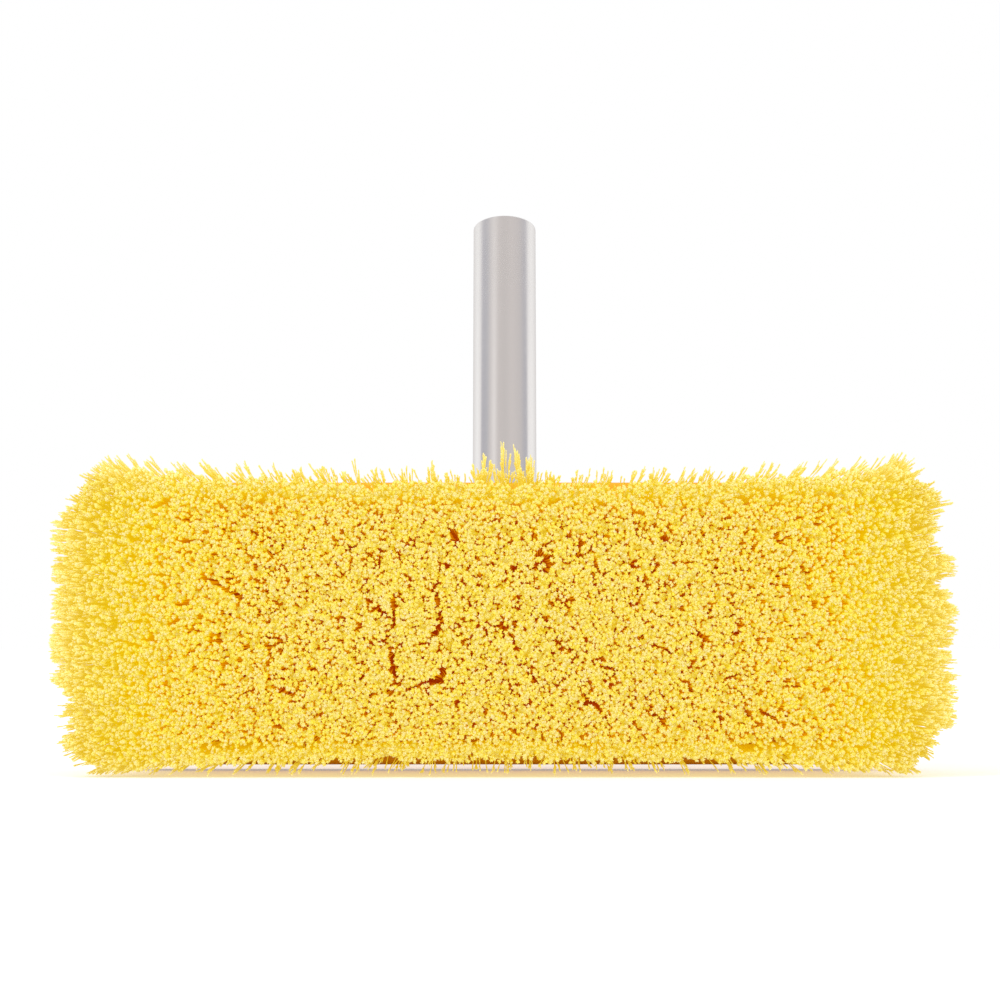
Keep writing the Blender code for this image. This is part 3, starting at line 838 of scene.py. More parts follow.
    def part(self, end: bpy.types.Node) -> tuple[bpy.types.Node, bpy.types.Node]:
        """Draws the tips apart along the parting lines, so that their sides are ragged.

        Args:
            end: each filament's end.
        Returns:
            Its new end, and the noise that tears the sides of the gaps.
        """
        lines = self.add("GeometryNodeObjectInfo", (self.partings,)).outputs["Geometry"]
        across_up = self.add(VECTORS, (end, (1, 0, 1)), operation="MULTIPLY")
        level = self.add(VECTORS, (across_up, (0, self.tips_at, 0)), operation="ADD")
        asked = {0: lines, "Sample Position": level}
        near = self.add("GeometryNodeProximity", asked, target_element="EDGES").outputs
        nearest = self.add("GeometryNodeSampleNearest", asked, domain="POINT")
        width = {0: lines, "Value": self.stored["width"], "Index": nearest}
        half_gap = self.add("GeometryNodeSampleIndex", width, data_type="FLOAT", domain="POINT")
        fade = self.add(MAP, (near["Distance"], 0.0, self.given["Parting Reach"], 1.0, 0.0))
        away = self.add(VECTORS, (level, near["Position"]), operation="SUBTRACT")
        push = self.add(VECTORS, (away,), operation="NORMALIZE")
        wide = self.add(MATHS, (half_gap, fade), operation="MULTIPLY")
        tear = self.add(MATHS, (self.tear_pitch, self.given["Clump Width"]), operation="DIVIDE")
        torn = self.add(NOISE, {"Vector": level, "Scale": tear})
        jagged = self.add(MAP, (torn, *self.tear_range))
        uneven = self.add(MATHS, (jagged, self.chance(*self.push_range, 12)), operation="MULTIPLY")
        for factor in (wide, uneven):
            push = self.add(VECTORS, {0: push, "Scale": factor}, operation="SCALE")
        return self.add(VECTORS, (end, push), operation="ADD"), torn

    def bunch(self, end: bpy.types.Node) -> bpy.types.Node:
        """Makes whole bunches stand out at the two ends, with notches between them.

        Args:
            end: each filament's end.
        Returns:
            Its new end.
        """
        past = self.add(SPLIT, (end,))
        stretched = self.add(VECTORS, (end, self.bunch_stretch), operation="MULTIPLY")
        pitch = self.add(MATHS, (self.bunch_pitch, self.given["Clump Width"]), operation="DIVIDE")
        notched = self.add(NOISE, {"Vector": stretched, "Scale": pitch})
        standing = self.add(MAP, (notched, *self.bunch_range))
        at_end = self.nearness(past, self.given["Half Length"], self.bunch_power)
        there = self.add(MATHS, (standing, at_end), operation="MULTIPLY")
        reach = self.add(MATHS, (there, self.given["Bunching"]), operation="MULTIPLY")
        side = self.add(MATHS, (past,), operation="SIGN")
        out = self.add(JOIN, (self.add(MATHS, (side, reach), operation="MULTIPLY"), 0.0, 0.0))
        return self.add(VECTORS, (end, out), operation="ADD")

    def trim(
        self, end: bpy.types.Node, torn: bpy.types.Node
    ) -> tuple[bpy.types.Node, bpy.types.Node, bpy.types.Node, bpy.types.Node]:
        """Keeps every tip inside the trimmed outline, with its round corners, and above the floor.

        Args:
            end: each filament's end.
            torn: the noise where the tips are worn short.
        Returns:
            The end's three parts, and how far across it may be.
        """
        x, y, z = self.add(SPLIT, (end,)).outputs
        even = self.add(MATHS, (self.chance(0.0, 1.0, 11), self.ragged_power), operation="POWER")
        ragged = self.add(MATHS, (even, self.given["Ragged Edge"]), operation="MULTIPLY")
        limit = self.add(MATHS, (self.given["Half Length"], ragged), operation="SUBTRACT")
        sideways = self.nearness(x, limit, self.corner_powers[0])
        height = self.add(MATHS, (z, self.middle), operation="SUBTRACT")
        upwards = self.nearness(height, self.given["Half Height"], self.corner_powers[1])
        corner = self.add(MATHS, (sideways, upwards), operation="MULTIPLY")
        cut = self.add(MATHS, (corner, self.given["Corner Cut"]), operation="MULTIPLY")
        kept = self.add(MATHS, (1.0, cut), operation="SUBTRACT")
        drawn_in = self.add(MATHS, (x, kept), operation="MULTIPLY")
        other_limit = self.add(MATHS, (limit, -1.0), operation="MULTIPLY")
        across = self.add(MATHS, (drawn_in, other_limit), operation="MAXIMUM")
        across = self.add(MATHS, (across, limit), operation="MINIMUM")
        worn = self.add(MAP, (torn, *self.worn_range, 0.0, self.given["Wear"]))
        deep = self.add(MATHS, (y, worn), operation="ADD")
        deep = self.add(MATHS, (deep, self.chance(0.0, self.given["Trim Scatter"], 3)), operation="ADD")
        lowest = self.add(MATHS, (ragged, self.ragged_floor, self.given["Floor"]), operation="MULTIPLY_ADD")
        return across, deep, self.add(MATHS, (z, lowest), operation="MAXIMUM"), limit

    def bow(
        self, across: bpy.types.Node, up: bpy.types.Node, limit: bpy.types.Node
    ) -> tuple[bpy.types.Node, bpy.types.Node]:
        """Bows the outermost filaments, so that their tips point outwards and stand in the light.

        Args:
            across: how far across each end is.
            up: how high it is.
            limit: how far across it may be.
        Returns:
            The filament's bend, and how open it stands, from 0 to 1, which sets its painted light and glow.
        """
        height = self.add(MATHS, (up, self.middle), operation="SUBTRACT")
        ways = []
        for distance, half, power in zip((across, height), (limit, self.given["Half Height"]), self.bow_powers):
            side = self.add(MATHS, (distance,), operation="SIGN")
            near = self.nearness(distance, half, power)
            ways.append(self.add(MATHS, (side, near), operation="MULTIPLY"))
        upwards = self.add(MATHS, (ways[1], self.bow_upwards), operation="MULTIPLY")
        outwards = self.add(JOIN, (ways[0], 0.0, upwards))
        splay = self.add(VECTORS, {0: outwards, "Scale": self.given["Splay"]}, operation="SCALE")
        wild = self.add(JOIN, (self.chance(-1.0, 1.0, 4), 0.0, self.chance(-1.0, 1.0, 5)))
        bend = self.add(VECTORS, {0: wild, "Scale": self.given["Bend"]}, operation="SCALE")
        # How open a filament stands, which sets the painted light and glow of the outermost filaments
        strengths = [self.add(MATHS, (way,), operation="ABSOLUTE") for way in ways]
        lit = [self.add(MATHS, (strength, self.open_power), operation="POWER") for strength in strengths]
        return self.add(VECTORS, (bend, splay), operation="SUBTRACT"), self.add(MATHS, lit, operation="MAXIMUM")

    def stand(self, points: bpy.types.NodeSocket) -> bpy.types.Node:
        """Sets a filament on each point, aimed, turned about itself and drawn out to its length.

        Args:
            points: the roots, with the way and length of each stored.
        Returns:
            The node that gives the filaments as one mesh.
        """
        picked = self.add("GeometryNodeCollectionInfo", (self.variants, True, True))
        aimed = self.add("FunctionNodeAlignRotationToVector", {"Vector": self.stored["way"]}, axis="Z")
        turn = {"Axis": (0, 0, 1), "Angle": self.chance(0.0, self.whole_turn, 7)}
        spun = {"Rotation": aimed, "Rotate By": self.add("FunctionNodeAxisAngleToRotation", turn)}
        turned = self.add("FunctionNodeRotateRotation", spun, rotation_space="LOCAL")
        pick = self.add(MATHS, (self.chance(0.0, float(self.kinds), 8),), operation="FLOOR")
        plume = self.add(MATHS, (self.chance(0.0, 1.0, 10), self.stored["plumes"]), operation="LESS_THAN")
        planted = {
            "Points": points,
            "Instance": picked,
            "Pick Instance": True,
            "Instance Index": self.add(MATHS, (plume, float(self.kinds), pick), operation="MULTIPLY_ADD"),
            "Rotation": turned,
            "Scale": self.add(JOIN, (1.0, 1.0, self.stored["reach"])),
        }
        return self.add("GeometryNodeRealizeInstances", (self.add("GeometryNodeInstanceOnPoints", planted),))

    def grow(self) -> bpy.types.NodeTree:
        """Links every step into the row's tree, and gives the row its material.

        Returns:
            The finished tree, with a named input for each size.
        """
        points, disc, root = self.sow()
        end, torn = self.part(self.drift(disc))
        across, deep, up, limit = self.trim(self.bunch(end), torn)
        trimmed = self.add(JOIN, (across, deep, up))
        way = self.add(VECTORS, (trimmed, root), operation="SUBTRACT")
        bend, lit = self.bow(across, up, limit)
        # The open share is kept for the painted light and glow of the outermost filaments
        for name, value, kind in (
            ("tone", self.chance(0.0, 1.0, 6), "FLOAT"),
            ("bend", bend, "FLOAT_VECTOR"),
            ("open", lit, "FLOAT"),
            ("root", root, "FLOAT_VECTOR"),
            ("way", way, "FLOAT_VECTOR"),
            ("reach", self.add(VECTORS, (way,), operation="LENGTH").outputs["Value"], "FLOAT"),
        ):
            keep = {"Geometry": points, "Name": name, "Value": value}
            points = self.add("GeometryNodeStoreNamedAttribute", keep, data_type=kind, domain="POINT").outputs[0]
        planted = {"Geometry": points, "Position": self.stored["root"]}
        standing = self.stand(self.add("GeometryNodeSetPosition", planted).outputs[0])

        # Each filament bows between its root and its tip, and the outermost are painted pale all along, as painted
        # light
        along = self.stored["along"]
        rest = self.add(MATHS, (1.0, along), operation="SUBTRACT")
        belly = self.add(MATHS, (along, rest), operation="MULTIPLY")
        offset = self.add(VECTORS, {0: self.stored["bend"], "Scale": belly}, operation="SCALE")
        bent = self.add("GeometryNodeSetPosition", {"Geometry": standing, "Offset": offset})
        shade = self.add(MATHS, (along, self.stored["pale"]), operation="MAXIMUM")
        shaded = {"Geometry": bent, "Name": "along", "Value": shade}
        toned = self.add("GeometryNodeStoreNamedAttribute", shaded, data_type="FLOAT", domain="POINT")
        dressed = self.add("GeometryNodeSetMaterial", {"Geometry": toned, "Material": FILAMENT.make()})
        self.add("NodeGroupOutput", (dressed,))
        return self.tree


@dataclass
class FilamentShape:
    """One split-tip filament, a unit long: a three-sided stem, and the prongs that its tip is split into.

    A filament that stands among others is a brush, with its prongs round its end. A stray one stands alone and is a
    plume, whose prongs lie along it like an ear of wheat. Necks, feet, rises and heights are shares of the length,
    and the pairs hold the least and the greatest that a prong may have.
    """

    number: int
    stray: bool
    stem_radius: float = 0.2 * MM
    stem_levels: tuple[Point2, ...] = ((0.0, 1.0), (0.55, 1.0))
    neck_share: float = 0.85
    prongs: int = 8
    prong_foot_share: float = 0.4
    prong_stir: float = 0.3
    prong_tilt: float = 0.0035
    inner_every: int = 3
    split_from: float = 0.88
    brush_neck: float = 0.9
    brush_reach: float = 0.7 * MM
    brush_radius: float = 0.39 * MM
    brush_thickness: Point2 = (0.75, 1.2)
    inner_spread: Point2 = (0.05, 0.4)
    inner_height: Point2 = (0.98, 0.994)
    outer_spread: Point2 = (0.55, 1.0)
    outer_height: Point2 = (0.96, 0.99)
    plume_neck: float = 0.97
    plume_reach: float = 0.66 * MM
    plume_radius: float = 0.26 * MM
    plume_thickness: Point2 = (0.6, 1.1)
    plume_foot: Point2 = (0.78, 0.9)
    plume_spread: Point2 = (0.3, 1.0)
    plume_rise: Point2 = (0.07, 0.16)
    plume_top: float = 0.996
    lean_plume: float = 0.35

    def __post_init__(self) -> None:
        """Starts the mesh, and the chance that the filament's number seeds."""
        self.chance = random.Random(self.number)
        self.cage = bmesh.new()
        self.turn = 2 * math.pi / 3

    def ring(self, middle: Vector, radius: float, first: float, tilt: float) -> list[bmesh.types.BMVert]:
        """Three points about a middle, each a little higher or lower.

        Args:
            middle: their middle.
            radius: how far from it they are.
            first: the angle of the first one.
            tilt: how much higher or lower they may be.
        Returns:
            The points.
        """
        made = []
        for k in range(3):
            angle = first + self.turn * k
            around = Vector((radius * math.cos(angle), radius * math.sin(angle), self.chance.uniform(-tilt, tilt)))
            made.append(self.cage.verts.new(middle + around))
        return made

    def stem(self) -> None:
        """Draws the stem up to its neck, and closes both ends."""
        neck = self.plume_neck if self.stray else self.brush_neck
        levels = (*self.stem_levels, (neck, self.neck_share))
        rings = [self.ring(Vector((0, 0, height)), self.stem_radius * share, 0, 0) for height, share in levels]
        for lower, upper in zip(rings, rings[1:]):
            for k in range(3):
                self.cage.faces.new((lower[k], lower[(k + 1) % 3], upper[(k + 1) % 3], upper[k]))
        self.cage.faces.new(rings[0][::-1])
        self.cage.faces.new(rings[-1])

    def prong_sizes(self, inner: bool) -> tuple[float, float, float, float]:
        """Draws the sizes of a prong by chance.

        Args:
            inner: whether it stands within the others.
        Returns:
            The height of its foot, and its end's distance from the stem, height and radius.
        """
        uniform = self.chance.uniform
        if self.stray:
            fullness = self.lean_plume if self.number % 2 else 1.0
            foot = uniform(*self.plume_foot)
            spread = fullness * self.plume_reach * uniform(*self.plume_spread)
            height = min(self.plume_top, foot + uniform(*self.plume_rise))
            return foot, spread, height, self.plume_radius * uniform(*self.plume_thickness)
        spreads, heights = (
            (self.inner_spread, self.inner_height) if inner else (self.outer_spread, self.outer_height)
        )
        spread, height = self.brush_reach * uniform(*spreads), uniform(*heights)
        return self.split_from, spread, height, self.brush_radius * uniform(*self.brush_thickness)

    def make(self) -> bpy.types.Object:
        """Draws the stem and its prongs.

        Returns:
            The object, with the attribute that says how far along each point is.
        """
        self.stem()
        for prong in range(self.prongs):
            angle = 2 * math.pi * (prong + self.chance.uniform(-self.prong_stir, self.prong_stir)) / self.prongs
            way = Vector((math.cos(angle), math.sin(angle), 0))
            foot, spread, height, radius = self.prong_sizes(prong % self.inner_every == 0)
            root = self.cage.verts.new(self.prong_foot_share * self.stem_radius * way + Vector((0, 0, foot)))
            first = self.chance.uniform(0, self.turn)
            end = self.ring(spread * way + Vector((0, 0, height)), radius, first, self.prong_tilt)
            self.cage.faces.new(end)
            for k in range(3):
                self.cage.faces.new((root, end[(k + 1) % 3], end[k]))
        made = new_object(f"{'plume' if self.stray else 'brush'}_{self.number}", self.cage)
        along = made.data.attributes.new("along", "FLOAT", "POINT")
        along.data.foreach_set("value", [vert.co.z for vert in made.data.vertices])
        return made


@dataclass
class TuftField:
    """The rows of tufts: where each is set, how it flares, and the filaments that it holds.

    The stirs, the fan and the spread of a standing strand are in millimetres. A tuple that is named for the end
    has a value for the outermost tuft of a row, and for the next ones in.
    """

    rows: int = 13
    in_long_row: int = 34
    left_out_at_corner: int = 1
    length: float = 63 * MM
    rim: float = 4 * MM
    end_lean: float = math.radians(13.5)
    side_lean: float = math.radians(1.8)
    under_lean: float = math.radians(0.8)
    corner_side_lean: float = math.radians(5)
    corner_under_lean: float = math.radians(3)
    corner_power: int = 3
    end_flare_share: float = 0.45
    side_flare_share: float = 0.62
    end_power: int = 6
    edge_lack: float = 1.2
    inner_lack: float = 0.75
    left_reach: float = 1.2 * MM
    within_box: float = 1.3 * MM
    end_stir: Point2 = (-2.2, 1.6)
    edge_stir: Point2 = (-1.2, 0.8)
    sunk: float = 1.2 * MM
    filaments: int = 84
    hole_radius: float = 1.9 * MM
    reach_share: float = 0.66
    outer_reach_share: float = 0.38
    end_rise_share: float = 0.16
    end_plumes: tuple[float, ...] = (0.75, 0.45, 0.2)
    edge_plumes: float = 0.35
    # Painted light: how far along, in colour, the roots of the end tufts, the outer rows and the strays are lifted
    end_painted_lift: tuple[float, ...] = (0.972, 0.955, 0.92)
    edge_painted_lift: float = 0.93
    stray_hole: float = 0.6 * MM
    stray_painted_lift: float = 0.985
    fan: float = 13
    standing_share: float = 0.93
    standing_spread: Point2 = (0.5, 1.4)
    variants: int = 5

    def __post_init__(self) -> None:
        """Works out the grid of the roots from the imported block."""
        low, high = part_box("brush_block")
        self.front = low.y
        self.middle = (low.z + high.z) / 2
        self.row_pitch = (high.z - low.z - 2 * self.rim) / self.rows
        self.tuft_pitch = (high.x - low.x - 2 * self.rim) / self.in_long_row
        self.outer_row = self.row_pitch * (self.rows - 1) / 2
        self.outer_tuft = self.tuft_pitch * (self.in_long_row - 1) / 2

    def flare(self, distance: float, half: float, share: float, lean: float) -> float:
        """How far a tuft leans, at a distance from the middle.

        Args:
            distance: the root's distance from the middle line.
            half: the distance of the outermost root.
            share: the share of that over which the tufts flare.
            lean: the lean of the outermost tuft.
        Returns:
            The angle, with the sign of the distance.
        """
        start = half * (1 - share)
        beyond = max(0.0, abs(distance) - start) / (half - start)
        return math.copysign(lean * beyond, distance)

    def tip(self, x: float, z: float) -> Vector:
        """The middle of a tuft's trimmed end, for a root at (x, z) about the face's middle.

        Args:
            x: how far across the root is.
            z: how far up it is.
        Returns:
            The end, about the face's middle.
        """
        across = self.flare(x, self.outer_tuft, self.end_flare_share, self.end_lean)
        at_middle, at_corner = (
            (self.side_lean, self.corner_side_lean) if z > 0 else (self.under_lean, self.corner_under_lean)
        )
        most = at_middle + at_corner * (abs(x) / self.outer_tuft) ** self.corner_power
        up = self.flare(z, self.outer_row, self.side_flare_share, most)
        reach = -self.length * math.cos(across) * math.cos(up)
        return Vector((x + self.length * math.sin(across), reach, z + self.length * math.sin(up)))

    def columns(self, row: int) -> list[float]:
        """The X places of a row's tufts. Every second row is a long one.

        Args:
            row: the row's number, from the top.
        Returns:
            The places, from left to right.
        """
        count = self.in_long_row if row % 2 else self.in_long_row - 1
        if row in (0, self.rows - 1):
            count -= 2 * self.left_out_at_corner
        return [step * self.tuft_pitch / 2 for step in range(1 - count, count, 2)]

    def row_tufts(self, row: int) -> list[Tuft]:
        """The full tufts of a row. Each spreads as far as the flare draws it from its neighbours.

        Args:
            row: the row's number, from the top.
        Returns:
            The tufts, from left to right.
        """
        chance = random.Random(400 + row)
        z = self.outer_row - row * self.row_pitch
        columns = self.columns(row)
        last = columns[-1]
        at_edge = row in (0, self.rows - 1)
        lack = self.inner_lack * min(self.outer_tuft - last, self.tuft_pitch / 2)
        if at_edge:
            lack = self.edge_lack * self.tuft_pitch
        made = []
        for x in columns:
            beyond = math.copysign(lack * (abs(x) / last) ** self.end_power, x)
            from_end = round((last - abs(x)) / self.tuft_pitch)
            by_end = from_end < len(self.end_plumes)
            across = self.outer_reach_share if from_end == 0 else self.reach_share
            up = (self.outer_reach_share if at_edge else self.reach_share) + self.end_rise_share * by_end
            inwards = Vector((x - math.copysign(self.tuft_pitch, x), z - math.copysign(self.row_pitch, z)))
            drawn = self.tip(x, z) - self.tip(inwards.x, inwards.y)
            drawn.x += beyond - math.copysign(lack * (abs(inwards.x) / last) ** self.end_power, inwards.x)
            if x < 0:
                beyond -= self.left_reach * (abs(x) / last) ** self.end_power
            side = math.copysign(1, x) * chance.uniform(*self.end_stir) if from_end == 0 else 0
            stir = Vector((side, 0, chance.uniform(*self.edge_stir) if at_edge else 0))
            end = self.tip(x, z) + Vector((beyond, 0, 0)) + stir * MM
            spread = (across * abs(drawn.x), up * abs(drawn.z))
            plumes = self.end_plumes[from_end] if by_end else self.edge_plumes * at_edge
            # Painted light on the filaments by the ends and along the outer rows
            pale = self.end_painted_lift[from_end] if by_end else self.edge_painted_lift * at_edge
            made.append(Tuft((x, z), end, spread, self.hole_radius, self.filaments, plumes, pale))
        return made

    def strays(self, row: int) -> list[Tuft]:
        """The few filaments that stick out past the trimmed outline, at both ends and along the outer rows.

        Args:
            row: the row's number, from the top.
        Returns:
            The stray bunches.
        """
        chance = random.Random(900 + row)
        full = self.row_tufts(row)
        made = []

        def add(root: Point2, end: Vector, spread: Sequence[float], count: int) -> None:
            """Adds a bunch that shares a tuft's hole, with its spread in millimetres."""
            wide = (spread[0] * MM, spread[1] * MM)
            made.append(Tuft(root, end, wide, self.stray_hole, count, 1.0, self.stray_painted_lift))

        def add_past(tuft: Tuft, fringe: Fringe, side: float, rise: float) -> None:
            """Adds a bunch of a fringe, whose end is moved from its tuft's, in millimetres.

            Args:
                tuft: the tuft whose hole it shares.
                fringe: the fringe that it belongs to.
                side: how far its end is moved along X.
                rise: how far its end is moved up.
            """
            out = Vector((side, chance.uniform(*fringe.forwards), rise))
            count, width = chance.randint(*fringe.filaments), chance.uniform(*fringe.width)
            add(tuft.root, tuft.tip + out * MM, (width, width), count)

        if row in (0, self.rows - 1):
            fringe, up = (BOTTOM_FRINGE, -1) if row else (TOP_FRINGE, 1)
            for tuft in full:
                for _ in range(fringe.bunches):
                    side = chance.uniform(-fringe.along, fringe.along) + tuft.root[0] / self.outer_tuft * self.fan
                    add_past(tuft, fringe, side, up * chance.triangular(*fringe.outwards))
        fringe = CORNER_FRINGE if END_RISES[row] else END_FRINGE
        for tuft in (full[0], full[-1]):
            for _ in range(fringe.bunches):
                side = math.copysign(chance.triangular(*fringe.outwards), tuft.root[0])
                add_past(tuft, fringe, side, chance.uniform(-fringe.along, fringe.along) + END_RISES[row])
        if row == 0:
            for x, z, count in STANDING_STRANDS:
                root = min(full, key=lambda tuft: abs(tuft.root[0] - x * MM)).root
                end = Vector((x * MM, -self.length * self.standing_share, z * MM))
                add(root, end, self.standing_spread, count)
        return made

    def row_points(self, row: int) -> bpy.types.Object:
        """The points of a row's tufts, with the attributes that the filaments are grown from.

        Args:
            row: the row's number, from the top.
        Returns:
            A mesh of points at the roots.
        """
        tufts = self.row_tufts(row) + self.strays(row)
        mesh = bpy.data.meshes.new(f"tuft_roots_{row + 1:02d}")
        roots = [(tuft.root[0], self.front + self.sunk, self.middle + tuft.root[1]) for tuft in tufts]
        mesh.from_pydata(roots, [], [])
        face = Vector((0, self.front, self.middle))
        tips = [part for tuft in tufts for part in tuft.tip + face]
        spreads = [part for tuft in tufts for part in (tuft.spread[0], 0, tuft.spread[1])]
        carried = {name: [getattr(tuft, name) for tuft in tufts] for name in ("hole", "pale", "plumes", "count")}
        for name, values in (carried | {"tip": tips, "spread": spreads}).items():
            kind = WORKINGS[name]
            attribute = mesh.attributes.new(name, kind, "POINT")
            attribute.data.foreach_set("vector" if kind == "FLOAT_VECTOR" else "value", values)
        made = bpy.data.objects.new(f"tufts_row_{row + 1:02d}", mesh)
        bpy.context.scene.collection.objects.link(made)
        return made

    def parting_lines(self) -> bpy.types.Object:
        """The lines where the tufts have parted, as edges with half the width of each gap.

        Returns:
            A mesh of edges at the tips, with an attribute of width at its points.
        """
        cage = bmesh.new()
        width = cage.verts.layers.float.new("width")
        for line in PARTING_LINES:
            points = []
            for x, z, half_width in line:
                point = cage.verts.new((x * MM, self.front - self.length, self.middle + z * MM))
                point[width] = half_width * MM
                points.append(point)
            for pair in zip(points, points[1:]):
                cage.edges.new(pair)
        return new_object("partings", cage)

    def build(self) -> list[bpy.types.Object]:
        """Grows every row and turns each into a plain mesh.

        Returns:
            The rows, from the top.
        """
        shelf = bpy.data.collections.new("filament_variants")
        for number in range(2 * self.variants):
            variant = FilamentShape(number, number >= self.variants).make()
            bpy.context.scene.collection.objects.unlink(variant)
            shelf.objects.link(variant)
        lines = self.parting_lines()
        sizes = {
            "Trim Scatter": 1.5 * MM,
            "Wear": 4.5 * MM,
            "Tip Scatter": 0.9 * MM,
            "Clump Width": 7 * MM,
            "Clump Shift": 4.1 * MM,
            "Parting Reach": 7 * MM,
            "Bend": 3 * MM,
            "Half Length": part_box("tuft_row_02")[1].x - self.within_box,
            "Half Height": 56 * MM,
            "Corner Cut": 0.082,
            "Ragged Edge": 3 * MM,
            "Bunching": 5 * MM,
            "Splay": 18 * MM,
            "Floor": 0.9 * MM,
        }
        tree = RowTree(sizes, self.front - self.length, self.middle, self.variants, shelf, lines).grow()
        rows = []
        for row in range(self.rows):
            made = self.row_points(row)
            grow = made.modifiers.new("grow", "NODES")
            grow.node_group = tree
            for item in tree.interface.items_tree:
                if item.in_out == "INPUT" and item.name in sizes:
                    grow[item.identifier] = sizes[item.name]
                if item.name == "Seed":
                    grow[item.identifier] = row * 100
            bake(made)
            for name in WORKINGS:
                attribute = made.data.attributes.get(name)
                if attribute:
                    made.data.attributes.remove(attribute)
            rows.append(dress(made, FILAMENT, Shading.FACETED, "head", [f"tuft_row_{row + 1:02d}"]))
        for tool in (lines, *shelf.objects):
            bpy.data.objects.remove(tool)
        return rows


@dataclass
class BrushBlock:
    """The moulded slab that the tufts are set in, with its rounded edges."""

    corner_radius: float = 14 * MM
    back_round: float = 6 * MM
    front_round: float = 2 * MM
    thickness: float = 20 * MM
    corner_steps: int = 20
    edge_steps: int = 8

    def build(self) -> bpy.types.Object:
        """Lofts the slab from its front face to its back face.

        Returns:
            The slab.
        """
        low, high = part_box("brush_block")
        middle = (low.z + high.z) / 2
        front, back = low.y, low.y + self.thickness
        profile = [
            (front + self.front_round - y, self.front_round - x)
            for x, y in arc((0, 0), self.front_round, 90, 0, self.edge_steps)
        ]
        profile += [
            (back - self.back_round + y, self.back_round - x)
            for x, y in arc((0, 0), self.back_round, 0, 90, self.edge_steps)
        ]
        rings = []
        for y, inset in profile:
            outline = round_corners(
                (high.x - low.x) / 2 - inset,
                (high.z - low.z) / 2 - inset,
                self.corner_radius - inset,
                self.corner_steps,
            )
            rings.append([Vector((x, y, middle + z)) for x, z in outline])
        slab = loft("moulded_block", rings)
        return dress(slab, POLYPROPYLENE, Shading.MOULDED, "head", ["brush_block"])


